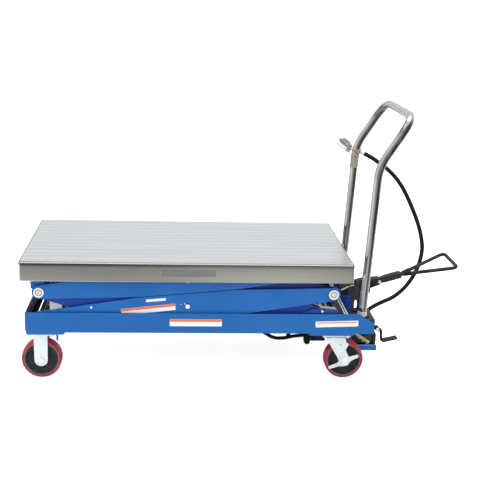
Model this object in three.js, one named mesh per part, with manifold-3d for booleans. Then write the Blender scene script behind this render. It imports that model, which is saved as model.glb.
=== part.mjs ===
// A double scissor lift table on four casters, with a foot pump, one hydraulic ram and a push handle.
// Millimetres, +Z up. +X points to the handle end, and "near" is the -Y side.
// Every part is drawn around the middle of the table, and the whole cart is then shifted along X
// so that the origin lies on the floor under the middle of its bounding box.

import * as THREE from "three";
import { mergeVertices } from "three/addons/utils/BufferGeometryUtils.js";
import Module from "manifold-3d";

const wasm = await Module();
wasm.setup();

// ---------------------------------------------------------------- driving dimensions

const GAP = 0.3; // between parts that rest on each other
const PLAY = 0.8; // radial play of a turning joint
const FINE = 24; // sides of a wheel
const COARSE = 12; // sides of a pin or a tube

const TABLE = { length: 1220, width: 610, top: 475, apron: 74, sheet: 2.5, corner: 10, hem: 12 };
const RAIL = { left: -597, right: 704, outer: 272, top: 270, bottom: 192, wall: 4, flange: 42 };
const NOSE = { start: 648, drop: 38 }; // bevel at the handle end of a rail
const PAD = { thickness: 9, inner: 178, left: [-596, -455], right: [462, 628] }; // caster pads

const PIVOT = { halfSpan: 545, base: 244, stage: 101 }; // lowered pivots, one stage above the other
const LEG = { end: 24, middle: 48, taper: 180, thickness: 8, outerPlane: 254, innerPlane: 242 };
const PIN = { radius: 11, head: 20, headDepth: 5, collar: 16, collarDepth: 5 };
const CENTRE_PIN = { radius: 9, head: 12, headDepth: 4, collar: 13, collarDepth: 4 };
const SHAFT = { pivot: 12, roller: 10 };
const ROLLER = { radius: 22, width: 16 };
const CROSS_TUBE = 20; // radius of the tubes that tie a pair of inner legs

const WHEEL = { radius: 75, width: 50, core: 64.7, tread: 65.2, boss: 27, bore: 8, track: 222 };
const RIGID_X = -544; // axle of the rigid casters
const SWIVEL = { x: 566, trail: 36, plate: 55, race: 32 };
const CASTER = { plate: 6, cheek: 5, inside: 29, axleHead: 12, crown: 168 };

const RAM = { foot: [500, 105], head: [60, 230], barrel: 33, rod: 17, pin: 12, headPlay: 4.2 };
const PUMP = { left: 655, right: 748, near: -100, far: 40, bottom: 72, top: 185 };
const PEDAL = { x: 672, z: 292, rise: 16.9, arm: 200, reach: 402, spread: 98, rod: 6, pin: 8 };
const PLUNGER = { x: 704, radius: 10, top: 287, column: 19, columnTop: 262 };
const RELEASE = { x: 760, z: 143, y: -88, pin: 4.7 };
const HANDLE = { foot: 663, bendX: 690, bendZ: 826, topX: 803, topZ: 1008, y: 226, tube: 15.5 };

const LEFTMOST = RIGID_X - WHEEL.radius;
const PEDAL_RISE = THREE.MathUtils.degToRad(PEDAL.rise);
const RIGHTMOST = PEDAL.x + (PEDAL.reach - PEDAL.rod) * Math.cos(PEDAL_RISE) + PEDAL.rod;
const SHIFT_X = -(LEFTMOST + RIGHTMOST) / 2;

// ---------------------------------------------------------------- materials

const finish = (colour, roughness, metalness) => ({ color: colour, roughness, metalness });
const STAINLESS = finish(0xc9cbc8, 0.35, 1.0);
const BLUE_PAINT = finish(0x1f62b4, 0.4, 0.1);
const ZINC = finish(0xc4d2d4, 0.45, 0.9);
const CHROME = finish(0xb9b9b4, 0.15, 1.0);
const BLACK_IRON = finish(0x26272b, 0.6, 0.3);
const CRIMSON_TREAD = finish(0x9d1e33, 0.5, 0.0);
const BLACK_RUBBER = finish(0x161616, 0.7, 0.0);
const BRASS = finish(0xb0925a, 0.35, 0.9);

// ---------------------------------------------------------------- solids

function triangleIndex(geometry) {
  const merged = new THREE.BufferGeometry();
  merged.setAttribute("position", geometry.toNonIndexed().getAttribute("position"));
  return mergeVertices(merged, 1e-4);
}

// A closed geometry as a solid, with its faces turned outwards.
function toSolid(geometry) {
  const merged = triangleIndex(geometry.index ? geometry : mergeVertices(geometry));
  const corners = merged.index.array;
  const triangles = [];
  for (let i = 0; i < corners.length; i += 3) {
    const [a, b, c] = [corners[i], corners[i + 1], corners[i + 2]];
    if (a !== b && b !== c && c !== a) triangles.push(a, b, c);
  }
  const build = (triVerts) =>
    new wasm.Manifold(
      new wasm.Mesh({
        numProp: 3,
        vertProperties: new Float32Array(merged.attributes.position.array),
        triVerts: new Uint32Array(triVerts),
      }),
    );
  const solid = build(triangles);
  return solid.volume() > 0 ? solid : build(triangles.reverse());
}

function toGeometry(solid) {
  const mesh = solid.getMesh();
  const geometry = new THREE.BufferGeometry();
  geometry.setAttribute("position", new THREE.BufferAttribute(mesh.vertProperties, 3));
  geometry.setIndex(new THREE.BufferAttribute(mesh.triVerts, 1));
  geometry.computeVertexNormals();
  return geometry;
}

function join(...parts) {
  return toGeometry(parts.map(toSolid).reduce((a, b) => a.add(b)));
}

function cut(part, ...tools) {
  return toGeometry(tools.map(toSolid).reduce((a, b) => a.subtract(b), toSolid(part)));
}

function box(x0, x1, y0, y1, z0, z1) {
  const geometry = new THREE.BoxGeometry(x1 - x0, y1 - y0, z1 - z0);
  return geometry.translate((x0 + x1) / 2, (y0 + y1) / 2, (z0 + z1) / 2);
}

function shapeOf(points) {
  return new THREE.Shape(points.map(([x, z]) => new THREE.Vector2(x, z)));
}

// A flat plate drawn in the X-Z plane, between two values of Y.
function plate(shape, y0, y1, sides = 6) {
  const depth = Math.abs(y1 - y0);
  const geometry = new THREE.ExtrudeGeometry(shape, { depth, bevelEnabled: false, curveSegments: sides });
  return geometry.rotateX(Math.PI / 2).translate(0, Math.max(y0, y1), 0);
}

// A cylinder along Y, through the point (x, z).
function barY(x, z, radius, y0, y1, sides = COARSE) {
  const geometry = new THREE.CylinderGeometry(radius, radius, Math.abs(y1 - y0), sides);
  return geometry.translate(x, (y0 + y1) / 2, z);
}

// A cylinder along Z, through the point (x, y).
function barZ(x, y, radius, z0, z1, sides = COARSE) {
  const geometry = new THREE.CylinderGeometry(radius, radius, z1 - z0, sides);
  return geometry.rotateX(Math.PI / 2).translate(x, y, (z0 + z1) / 2);
}

// A body turned around the Y axis from a closed profile of [radius, y] points.
function turned(profile, x, y, z, sides = COARSE) {
  const outline = [...profile, profile[0]].map(([radius, height]) => new THREE.Vector2(radius, height));
  return new THREE.LatheGeometry(outline, sides).translate(x, y, z);
}

// A round bar bent along straight runs and rounded corners through the given points.
function bentBar(points, radius, bend, steps, sides = 10) {
  const corners = points.map((point) => new THREE.Vector3(...point));
  const path = new THREE.CurvePath();
  let start = corners[0];
  for (let i = 1; i < corners.length - 1; i++) {
    const before = corners[i].clone().sub(corners[i - 1]).normalize();
    const after = corners[i + 1].clone().sub(corners[i]).normalize();
    const entry = corners[i].clone().addScaledVector(before, -bend);
    const exit = corners[i].clone().addScaledVector(after, bend);
    path.add(new THREE.LineCurve3(start, entry));
    path.add(new THREE.QuadraticBezierCurve3(entry, corners[i], exit));
    start = exit;
  }
  path.add(new THREE.LineCurve3(start, corners.at(-1)));
  return sweep(path, radius, steps, sides);
}

function sweep(path, radius, steps, sides) {
  const circle = new THREE.Shape().absarc(0, 0, radius, 0, 2 * Math.PI);
  return new THREE.ExtrudeGeometry(circle, { steps, extrudePath: path, curveSegments: sides });
}

function roundedBox(length, width, corner, z0, z1) {
  const [a, b] = [length / 2, width / 2];
  const outline = new THREE.Shape();
  outline.moveTo(a, -b + corner);
  outline.absarc(a - corner, b - corner, corner, 0, Math.PI / 2);
  outline.absarc(-a + corner, b - corner, corner, Math.PI / 2, Math.PI);
  outline.absarc(-a + corner, -b + corner, corner, Math.PI, 1.5 * Math.PI);
  outline.absarc(a - corner, -b + corner, corner, 1.5 * Math.PI, 2 * Math.PI);
  const geometry = new THREE.ExtrudeGeometry(outline, {
    depth: z1 - z0,
    bevelEnabled: false,
    curveSegments: 4,
  });
  return geometry.translate(0, 0, z0);
}

// ---------------------------------------------------------------- scene graph helpers

const cart = new THREE.Group();
cart.position.x = SHIFT_X;

function add(name, geometry, look, parent = cart) {
  const outward = toGeometry(toSolid(geometry));
  const mesh = new THREE.Mesh(outward, new THREE.MeshStandardMaterial(look));
  mesh.name = name;
  parent.add(mesh);
  return mesh;
}

const SIDES = [
  { tag: "near", side: -1 },
  { tag: "far", side: 1 },
];

// ---------------------------------------------------------------- platform

function platformDeck() {
  const { length, width, top, apron, sheet, corner, hem } = TABLE;
  const bottom = top - apron;
  const outside = roundedBox(length, width, corner, bottom, top);
  const inside = roundedBox(length - 2 * sheet, width - 2 * sheet, corner - sheet, bottom + sheet, top - sheet);
  const mouth = roundedBox(length - 2 * hem, width - 2 * hem, 2, bottom - 1, bottom + sheet + 1);
  return cut(outside, inside, mouth);
}

// Two stringers outside the legs, three cross ribs, the roller channels and the pivot lugs.
function platformFrame() {
  const under = TABLE.top - TABLE.sheet - GAP;
  const pivotZ = PIVOT.base + 2 * PIVOT.stage;
  const stringer = { inner: 270, outer: 292, reach: 598, depth: 32 };
  const channel = { left: -592, right: -345, flange: 4, mouth: 252 };
  const lug = { halfWidth: 28, inner: 264.5, drop: 24 };
  const parts = [];
  for (const { side } of SIDES) {
    const [inner, outer] = [side * stringer.inner, side * stringer.outer];
    const [y0, y1] = [Math.min(inner, outer), Math.max(inner, outer)];
    parts.push(box(-stringer.reach, stringer.reach, y0, y1, under - stringer.depth, under));
    const runTop = pivotZ + ROLLER.radius + 0.4;
    const runBottom = pivotZ - ROLLER.radius - 0.6;
    const mouth = side * channel.mouth;
    const wall = side * (stringer.inner + channel.flange);
    const [c0, c1] = [Math.min(mouth, wall), Math.max(mouth, wall)];
    parts.push(box(channel.left, channel.right, c0, c1, runTop, under));
    parts.push(box(channel.left, channel.right, c0, c1, runBottom - channel.flange, runBottom));
    const [w0, w1] = [Math.min(inner, wall), Math.max(inner, wall)];
    parts.push(box(channel.left, channel.right, w0, w1, runBottom - channel.flange, under));
    const lugInner = side * lug.inner;
    const lugOuter = side * (stringer.inner + 1);
    const [l0, l1] = [Math.min(lugInner, lugOuter), Math.max(lugInner, lugOuter)];
    const x = PIVOT.halfSpan;
    parts.push(box(x - lug.halfWidth, x + lug.halfWidth, l0, l1, pivotZ - lug.drop, under));
  }
  const ribWidth = 6;
  for (const [x, drop] of [
    [-stringer.reach + ribWidth / 2, stringer.depth],
    [0, 20],
    [stringer.reach - ribWidth / 2, stringer.depth],
  ]) {
    parts.push(box(x - ribWidth / 2, x + ribWidth / 2, -stringer.inner - 1, stringer.inner + 1, under - drop, under));
  }
  const bore = barY(PIVOT.halfSpan, pivotZ, SHAFT.pivot + PLAY, -269, 269);
  return cut(join(...parts), bore);
}

// ---------------------------------------------------------------- scissor legs

// Outline of a leg, drawn around its middle: round ends, widening to a parallel middle.
function legShape(halfLength, pinRadius, centreRadius, endRadiusLeft, endRadiusRight) {
  const { end, middle, taper } = LEG;
  const shape = new THREE.Shape();
  shape.moveTo(-taper, middle);
  shape.lineTo(-halfLength, end);
  shape.absarc(-halfLength, 0, end, Math.PI / 2, 1.5 * Math.PI);
  shape.lineTo(-taper, -middle);
  shape.lineTo(taper, -middle);
  shape.lineTo(halfLength, -end);
  shape.absarc(halfLength, 0, end, -Math.PI / 2, Math.PI / 2);
  shape.lineTo(taper, middle);
  shape.closePath();
  for (const [x, radius] of [
    [-halfLength, endRadiusLeft],
    [0, centreRadius],
    [halfLength, endRadiusRight],
  ]) {
    shape.holes.push(new THREE.Path().absarc(x, 0, radius, 0, 2 * Math.PI, true));
  }
  return shape;
}

const HALF_LEG = Math.hypot(PIVOT.halfSpan, PIVOT.stage / 2);
const LOWERED = Math.atan2(PIVOT.stage / 2, PIVOT.halfSpan);
const CENTRE_HOLE = CENTRE_PIN.radius + PLAY;
const PIN_HOLE = PIN.radius + PLAY;

function legPlate(side, plane, leftRadius, rightRadius) {
  const shape = legShape(HALF_LEG, PIN_HOLE, CENTRE_HOLE, leftRadius, rightRadius);
  return plate(shape, side * plane, side * (plane + LEG.thickness), 6);
}

// A turned group at the crossing of one stage: rises to the right (+1) or to the left (-1).
function legGroup(stage, rises) {
  const group = new THREE.Group();
  group.position.z = PIVOT.base + PIVOT.stage * (stage + 0.5);
  group.rotation.y = -rises * LOWERED;
  cart.add(group);
  return group;
}

// Both inner legs of a stage with the tubes that tie them, drawn around the crossing.
function innerFrame(leftRadius, rightRadius, tubes, extras = []) {
  const tieReach = LEG.innerPlane + 1;
  const parts = SIDES.map(({ side }) => legPlate(side, LEG.innerPlane, leftRadius, rightRadius));
  for (const x of tubes) parts.push(barY(x, 0, CROSS_TUBE, -tieReach, tieReach, 12));
  return join(...parts, ...extras);
}

// The point of the ram's head pin, in the turned frame of the lower inner legs.
function ramHeadInLegs() {
  const dx = RAM.head[0];
  const dz = RAM.head[1] - (PIVOT.base + PIVOT.stage / 2);
  const [c, s] = [Math.cos(LOWERED), Math.sin(LOWERED)];
  return [dx * c - dz * s, dx * s + dz * c];
}

function ramHeadLugs() {
  const [x, z] = ramHeadInLegs();
  const lug = { inner: 20, outer: 28, round: 20 };
  return SIDES.map(({ side }) => {
    const shape = new THREE.Shape();
    shape.moveTo(x - lug.round, 0);
    shape.lineTo(x - lug.round, z);
    shape.absarc(x, z, lug.round, Math.PI, 2 * Math.PI);
    shape.lineTo(x + lug.round, 0);
    shape.closePath();
    shape.holes.push(new THREE.Path().absarc(x, z, RAM.pin + PLAY, 0, 2 * Math.PI, true));
    return plate(shape, side * lug.inner, side * lug.outer);
  });
}

// A pin along Y with a wide outer head and a collar behind the inner leg.
function pivotPin(side, size, x, z) {
  const inner = LEG.innerPlane - GAP;
  const outer = LEG.outerPlane + LEG.thickness + GAP;
  const profile = [
    [0, inner - size.collarDepth],
    [size.collar, inner - size.collarDepth],
    [size.collar, inner],
    [size.radius, inner],
    [size.radius, outer],
    [size.head, outer],
    [size.head, outer + size.headDepth],
    [0, outer + size.headDepth],
  ];
  return turned(profile.map(([radius, y]) => [radius, side * y]), x, 0, z);
}

function scissors() {
  const shaftHole = SHAFT.pivot + PLAY;
  const rollerHole = SHAFT.roller + PLAY;
  const lowerInner = legGroup(0, -1);
  const lowerOuter = legGroup(0, 1);
  const upperOuter = legGroup(1, 1);
  const upperInner = legGroup(1, -1);

  const headX = ramHeadInLegs()[0];
  add("lower_inner_frame", innerFrame(PIN_HOLE, shaftHole, [headX, 430], ramHeadLugs()), BLUE_PAINT, lowerInner);
  add("upper_inner_frame", innerFrame(rollerHole, PIN_HOLE, [-200, 380]), BLUE_PAINT, upperInner);
  for (const { tag, side } of SIDES) {
    const lower = legPlate(side, LEG.outerPlane, rollerHole, PIN_HOLE);
    const upper = legPlate(side, LEG.outerPlane, PIN_HOLE, shaftHole);
    add("lower_outer_leg_" + tag, lower, BLUE_PAINT, lowerOuter);
    add("upper_outer_leg_" + tag, upper, BLUE_PAINT, upperOuter);
    add("left_mid_pin_" + tag, pivotPin(side, PIN, -HALF_LEG, 0), ZINC, lowerInner);
    add("lower_centre_pin_" + tag, pivotPin(side, CENTRE_PIN, 0, 0), ZINC, lowerInner);
    add("right_mid_pin_" + tag, pivotPin(side, PIN, HALF_LEG, 0), ZINC, lowerOuter);
    add("upper_centre_pin_" + tag, pivotPin(side, CENTRE_PIN, 0, 0), ZINC, upperOuter);
  }
  const [headPinX, headPinZ] = ramHeadInLegs();
  add("ram_rod_pin", barY(headPinX, headPinZ, RAM.pin, -31, 31), ZINC, lowerInner);
}

// The shafts at the fixed and at the rolling ends, with the rollers.
function shaftsAndRollers() {
  const tableZ = PIVOT.base + 2 * PIVOT.stage;
  const x = PIVOT.halfSpan;
  const baseReach = 265;
  const tableReach = 268.5;
  add("base_pivot_shaft", barY(x, PIVOT.base, SHAFT.pivot, -baseReach, baseReach), ZINC);
  add("table_pivot_shaft", barY(x, tableZ, SHAFT.pivot, -tableReach, tableReach), ZINC);
  add("base_roller_shaft", barY(-x, PIVOT.base, SHAFT.roller, -baseReach, baseReach), ZINC);
  add("table_roller_shaft", barY(-x, tableZ, SHAFT.roller, -tableReach, tableReach), ZINC);
  const baseInner = LEG.outerPlane - 2 - ROLLER.width;
  const tableInner = LEG.innerPlane + LEG.thickness + 2;
  for (const { tag, side } of SIDES) {
    for (const [name, z, inner] of [
      ["base_roller_", PIVOT.base, baseInner],
      ["table_roller_", tableZ, tableInner],
    ]) {
      const bore = SHAFT.roller + PLAY;
      const profile = [
        [bore, inner],
        [ROLLER.radius, inner],
        [ROLLER.radius, inner + ROLLER.width],
        [bore, inner + ROLLER.width],
      ];
      add(name + tag, turned(profile.map(([r, y]) => [r, side * y]), -x, 0, z), BLACK_IRON);
    }
  }
}

// ---------------------------------------------------------------- base frame

function railOutline() {
  const { left, right, top, bottom } = RAIL;
  const corner = 12;
  const shape = new THREE.Shape();
  shape.moveTo(left + corner, bottom);
  shape.lineTo(right, bottom);
  shape.lineTo(right, top - NOSE.drop);
  shape.lineTo(NOSE.start, top);
  shape.lineTo(left, top);
  shape.lineTo(left, bottom + corner);
  shape.absarc(left + corner, bottom + corner, corner, Math.PI, 1.5 * Math.PI);
  return shape;
}

// The plates that carry the ram foot lean away from the swinging barrel.
function clevisOutline() {
  const [x, z] = RAM.foot;
  const round = 22;
  const topZ = RAIL.bottom + 2;
  const shape = new THREE.Shape();
  shape.moveTo(x + 4, topZ);
  shape.absarc(x, z, round, (5 / 6) * Math.PI, 2 * Math.PI);
  shape.lineTo(x + 30, topZ);
  shape.closePath();
  shape.holes.push(new THREE.Path().absarc(x, z, RAM.pin + PLAY, 0, 2 * Math.PI, true));
  return shape;
}

function baseFrame() {
  const { left, right, outer, top, bottom, wall, flange } = RAIL;
  const inner = outer - wall;
  const parts = [];
  for (const { side } of SIDES) {
    const span = (a, b) => [Math.min(side * a, side * b), Math.max(side * a, side * b)];
    parts.push(plate(railOutline(), side * inner, side * outer, 4));
    parts.push(box(left + 12, right, ...span(outer - flange, inner + 1), bottom, bottom + wall));
    // track bar for the base roller
    const trackTop = PIVOT.base - ROLLER.radius - 0.4;
    parts.push(box(left + 1, -340, ...span(outer - flange + 2, LEG.outerPlane - 2), bottom + 1, trackTop));
    // lug for the base pivot shaft
    const x = PIVOT.halfSpan;
    parts.push(box(x - 26, x + 26, ...span(LEG.outerPlane, LEG.outerPlane + 8), bottom + 1, top - 2));
    for (const [padLeft, padRight] of [PAD.left, PAD.right]) {
      parts.push(box(padLeft, padRight, ...span(PAD.inner, outer - 1), bottom - PAD.thickness, bottom + 1));
    }
    parts.push(plate(clevisOutline(), side * 14, side * 22, 6));
  }
  // cross members: an angle at each end and a channel over the ram foot
  const crossReach = inner + 1;
  parts.push(box(left, left + wall, -crossReach, crossReach, bottom + 12, top));
  parts.push(box(left, left + 20, -crossReach, crossReach, bottom + 8, bottom + 12));
  parts.push(box(598, 602, -crossReach, crossReach, bottom + 1, top));
  parts.push(box(578, 600, -crossReach, crossReach, bottom + 1, bottom + 5));
  parts.push(box(490, 534, -crossReach, crossReach, bottom, bottom + 20));
  // small tab that hangs from the near rail
  parts.push(box(-484, -477, -270, -262, bottom - 34, bottom + 2));
  const shaftBore = barY(PIVOT.halfSpan, PIVOT.base, SHAFT.pivot + PLAY, -outer + wall, outer - wall);
  return cut(join(...parts), shaftBore);
}

// ---------------------------------------------------------------- casters

const PLATE_TOP = RAIL.bottom - PAD.thickness - GAP;
const PLATE_BOTTOM = PLATE_TOP - CASTER.plate;

function wheel(name, x, side) {
  const y = side * WHEEL.track;
  const rim = WHEEL.width / 2 - 3;
  const core = [
    [WHEEL.bore + PLAY, -WHEEL.boss],
    [22, -WHEEL.boss],
    [24, -rim + 8],
    [WHEEL.core, -rim],
    [WHEEL.core, rim],
    [24, rim - 8],
    [22, WHEEL.boss],
    [WHEEL.bore + PLAY, WHEEL.boss],
  ];
  const half = WHEEL.width / 2;
  const tread = [
    [WHEEL.tread, -half],
    [WHEEL.radius - 5, -half],
    [WHEEL.radius, -half + 6],
    [WHEEL.radius, half - 6],
    [WHEEL.radius - 5, half],
    [WHEEL.tread, half],
  ];
  add("hub_" + name, turned(core, x, y, WHEEL.radius, FINE), BLACK_IRON);
  add("tread_" + name, turned(tread, x, y, WHEEL.radius, FINE), CRIMSON_TREAD);
}

function axleBolt(name, x, side) {
  const y = side * WHEEL.track;
  const inner = CASTER.inside + CASTER.cheek + GAP;
  const head = inner + (x > 0 ? 9 : 5);
  const profile = [
    [0, -inner - 7],
    [CASTER.axleHead - 1, -inner - 7],
    [CASTER.axleHead - 1, -inner],
    [WHEEL.bore, -inner],
    [WHEEL.bore, head],
    [CASTER.axleHead, head],
    [CASTER.axleHead, head + 5],
    [0, head + 5],
  ];
  add(name, turned(profile.map(([r, across]) => [r, side * across]), x, y, WHEEL.radius), ZINC);
}

function cheekPair(shape, side) {
  const y = side * WHEEL.track;
  const { inside, cheek } = CASTER;
  return [plate(shape, y - inside - cheek, y - inside, 6), plate(shape, y + inside, y + inside + cheek, 6)];
}

function rigidCaster(tag, side) {
  const y = side * WHEEL.track;
  const [halfTop, halfFoot] = [25, 23];
  const shape = new THREE.Shape();
  shape.moveTo(RIGID_X - halfTop, PLATE_TOP - 1);
  shape.lineTo(RIGID_X - halfFoot, WHEEL.radius);
  shape.absarc(RIGID_X, WHEEL.radius, halfFoot, Math.PI, 2 * Math.PI);
  shape.lineTo(RIGID_X + halfTop, PLATE_TOP - 1);
  shape.closePath();
  shape.holes.push(new THREE.Path().absarc(RIGID_X, WHEEL.radius, WHEEL.bore + PLAY, 0, 2 * Math.PI, true));
  const top = box(RIGID_X - 52, RIGID_X + 52, y - 43, y + 43, PLATE_BOTTOM, PLATE_TOP);
  add("rigid_fork_" + tag, join(top, ...cheekPair(shape, side)), ZINC);
  axleBolt("rigid_axle_" + tag, RIGID_X, side);
  wheel("left_" + tag, RIGID_X, side);
}

function swivelCaster(tag, side) {
  const y = side * WHEEL.track;
  const axleX = SWIVEL.x + SWIVEL.trail;
  const raceTop = PLATE_BOTTOM + 1;
  const raceBottom = CASTER.crown + 2;
  const kingBottom = CASTER.crown - 11;
  const top = box(SWIVEL.x - SWIVEL.plate, SWIVEL.x + SWIVEL.plate, y - 43, y + 43, PLATE_BOTTOM, PLATE_TOP);
  const race = barZ(SWIVEL.x, y, SWIVEL.race, raceBottom, raceTop);
  const kingPin = barZ(SWIVEL.x, y, 9, kingBottom, raceTop);
  const kingNut = barZ(SWIVEL.x, y, 14, kingBottom - 1, kingBottom + 3);
  add("swivel_plate_" + tag, join(top, race, kingPin, kingNut), ZINC);

  const shape = new THREE.Shape();
  shape.moveTo(SWIVEL.x - 40, CASTER.crown + 1);
  shape.lineTo(axleX - 17, WHEEL.radius);
  shape.absarc(axleX, WHEEL.radius, 17, Math.PI, 2 * Math.PI);
  shape.lineTo(SWIVEL.x + 34, CASTER.crown - 38);
  shape.lineTo(SWIVEL.x + 40, CASTER.crown - 22);
  shape.lineTo(SWIVEL.x + 38, CASTER.crown + 1);
  shape.closePath();
  shape.holes.push(new THREE.Path().absarc(axleX, WHEEL.radius, WHEEL.bore + PLAY, 0, 2 * Math.PI, true));
  const reach = CASTER.inside + CASTER.cheek;
  const crown = box(SWIVEL.x - 38, SWIVEL.x + 36, y - reach + 1, y + reach - 1, CASTER.crown - 6, CASTER.crown + 1);
  const kingBore = barZ(SWIVEL.x, y, 9 + PLAY, CASTER.crown - 8, CASTER.crown + 3);
  add("swivel_fork_" + tag, cut(join(crown, ...cheekPair(shape, side)), kingBore), ZINC);
  axleBolt("swivel_axle_" + tag, axleX, side);
  wheel("right_" + tag, axleX, side);
  brakeLever(tag, side, axleX);
}

// A pressed wing lever that turns on the axle, outside the outer cheek.
function brakeLever(tag, side, axleX) {
  const tilt = 0.42;
  const wing = { reach: 52, root: 15, tip: 6 };
  const outline = [
    [-wing.reach, -wing.tip],
    [-18, -wing.root],
    [18, -wing.root],
    [wing.reach, -wing.tip],
    [wing.reach, wing.tip],
    [18, wing.root],
    [-18, wing.root],
    [-wing.reach, wing.tip],
  ];
  const shape = shapeOf(outline);
  shape.holes.push(new THREE.Path().absarc(0, 0, WHEEL.bore + PLAY, 0, 2 * Math.PI, true));
  const start = CASTER.inside + CASTER.cheek + 2 * GAP;
  const lever = plate(shape, side * start, side * (start + 6), 6);
  const mesh = add("brake_lever_" + tag, lever, ZINC);
  mesh.position.set(axleX, side * WHEEL.track, WHEEL.radius);
  mesh.rotation.y = -tilt;
}

// ---------------------------------------------------------------- hydraulic ram

function ram() {
  const [footX, footZ] = RAM.foot;
  const length = Math.hypot(RAM.head[0] - footX, RAM.head[1] - footZ);
  const slope = Math.atan2(RAM.head[1] - footZ, footX - RAM.head[0]);
  const group = new THREE.Group();
  group.position.set(footX, 0, footZ);
  group.rotation.y = slope;
  cart.add(group);
  // in this frame the ram runs along -X
  const alongX = (radius, x0, x1, sides = COARSE) => {
    const geometry = new THREE.CylinderGeometry(radius, radius, x1 - x0, sides);
    return geometry.rotateZ(Math.PI / 2).translate((x0 + x1) / 2, 0, 0);
  };
  const barrelEnd = -length + 110;
  const barrelSolid = join(
    alongX(RAM.barrel, barrelEnd, -46),
    box(-50, 0, -12, 12, -18, 18),
    barY(0, 0, 20, -12, 12),
  );
  const rodBore = alongX(RAM.rod + PLAY, barrelEnd - 1, barrelEnd + 190);
  const footBore = barY(0, 0, RAM.pin + PLAY, -14, 14);
  add("ram_barrel", cut(barrelSolid, rodBore, footBore), BLACK_IRON, group);
  const eye = barY(-length, 0, 23, -15, 15);
  const rod = join(alongX(RAM.rod, -length + 12, barrelEnd + 90), eye);
  add("ram_rod", cut(rod, barY(-length, 0, RAM.pin + RAM.headPlay, -18, 18)), CHROME, group);
  add("ram_base_pin", barY(0, 0, RAM.pin, -26, 26), ZINC, group);
}

// ---------------------------------------------------------------- foot pump

function pumpBracket() {
  const outline = shapeOf([
    [602.4, 302],
    [643, 302],
    [643, 240],
    [652, 150],
    [652, 87],
    [752, 87],
    [752, 64],
    [640, 64],
    [640, 168],
    [602.4, 194],
  ]);
  const [near, far, wall] = [-125, 65, 5];
  const floor = box(640, 752, near + 1, far - 1, 64, 69);
  const web = box(602.4, 607, near + 1, far - 1, 200, 262);
  return join(plate(outline, near, near + wall), plate(outline, far - wall, far), floor, web);
}

function pumpBlock() {
  const { left, right, near, far, bottom, top } = PUMP;
  const body = box(left, right, near, far, bottom, top);
  const column = barZ(PLUNGER.x, 0, PLUNGER.column, top - 1, PLUNGER.columnTop);
  const ear = shapeOf([
    [658, top - 1],
    [690, top - 1],
    [690, PEDAL.z + 14],
    [658, PEDAL.z + 14],
  ]);
  const ears = SIDES.map(({ side }) => plate(ear, side * 19.5, side * 26));
  const pedalPin = barY(PEDAL.x, PEDAL.z, PEDAL.pin, -25, 25);
  const lever = { near: RELEASE.y - 12, far: RELEASE.y + 16 };
  const releaseEar = box(right - 1, RELEASE.x + 8, lever.far - 6, lever.far, RELEASE.z - 9, RELEASE.z + 9);
  const releasePin = barY(RELEASE.x, RELEASE.z, RELEASE.pin, lever.near, lever.far - 1, 12);
  const bore = barZ(PLUNGER.x, 0, PLUNGER.radius + PLAY, top + 1, PLUNGER.columnTop + 1);
  return cut(join(body, column, ...ears, pedalPin, releaseEar, releasePin), bore);
}

// A square arm that ends in a wide loop of round bar; it turns around a pin along Y.
function footPedal() {
  const group = new THREE.Group();
  group.position.set(PEDAL.x, 0, PEDAL.z);
  group.rotation.y = -PEDAL_RISE;
  cart.add(group);
  const halfWidth = 17;
  const arm = join(box(0, PEDAL.arm, -11, 11, -10, 10), barY(0, 0, 15, -halfWidth, halfWidth));
  const loop = bentBar(
    [
      [PEDAL.arm - 30, -5, 0],
      [PEDAL.arm, -5, 0],
      [PEDAL.reach - 6, -PEDAL.spread, 0],
      [PEDAL.reach - 6, PEDAL.spread, 0],
      [PEDAL.arm, 5, 0],
      [PEDAL.arm - 30, 5, 0],
    ],
    PEDAL.rod,
    14,
    30,
    3,
  );
  const bore = barY(0, 0, PEDAL.pin + PLAY, -halfWidth - 1, halfWidth + 1);
  add("foot_pedal", cut(join(arm, loop), bore), BLACK_IRON, group);
}

function releaseLever() {
  const { x, y, z, pin } = RELEASE;
  const bar = bentBar(
    [
      [x + 4, y, z],
      [x + 16, y, z - 4],
      [x + 21, y, z - 47],
      [x + 80, y, z - 33],
    ],
    5,
    6,
    14,
    3,
  );
  const tread = box(x + 34, x + 82, y - 16, y + 16, -4, 4);
  tread.translate(-(x + 58), 0, 0).rotateY(-0.23).translate(x + 58, 0, z - 38);
  const hub = barY(x, z, 9, y - 9, y + 9, 12);
  const bore = barY(x, z, pin + PLAY, y - 10, y + 10, 12);
  return cut(join(bar, tread, hub), bore);
}

function pump() {
  add("pump_bracket", pumpBracket(), BLUE_PAINT);
  add("pump_block", pumpBlock(), BLACK_IRON);
  const plungerBottom = PUMP.top + 20;
  add("pump_plunger", barZ(PLUNGER.x, 0, PLUNGER.radius, plungerBottom, PLUNGER.top), CHROME);
  footPedal();
  add("release_lever", releaseLever(), BLACK_IRON);
}

// ---------------------------------------------------------------- handle, valve and hose

function handle() {
  const { foot, bendX, bendZ, topX, topZ, y, tube } = HANDLE;
  const footZ = RAIL.bottom + 20;
  const side = (sign) => [
    [foot, sign * y, footZ],
    [bendX, sign * y, bendZ],
    [topX, sign * y, topZ],
  ];
  const path = [...side(-1), ...side(1).reverse()];
  add("handle_tube", bentBar(path, tube, 55, 40, 4), CHROME);
  for (const { tag, side: sign } of SIDES) {
    const block = box(foot - 24, foot + 24, sign * y - 18, sign * y + 18, RAIL.bottom + RAIL.wall + GAP, 252);
    const bore = barZ(foot + 1, sign * y, tube + 2.2, footZ - 2, 253);
    add("handle_socket_" + tag, cut(block, bore), BLACK_IRON);
  }
}

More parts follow.
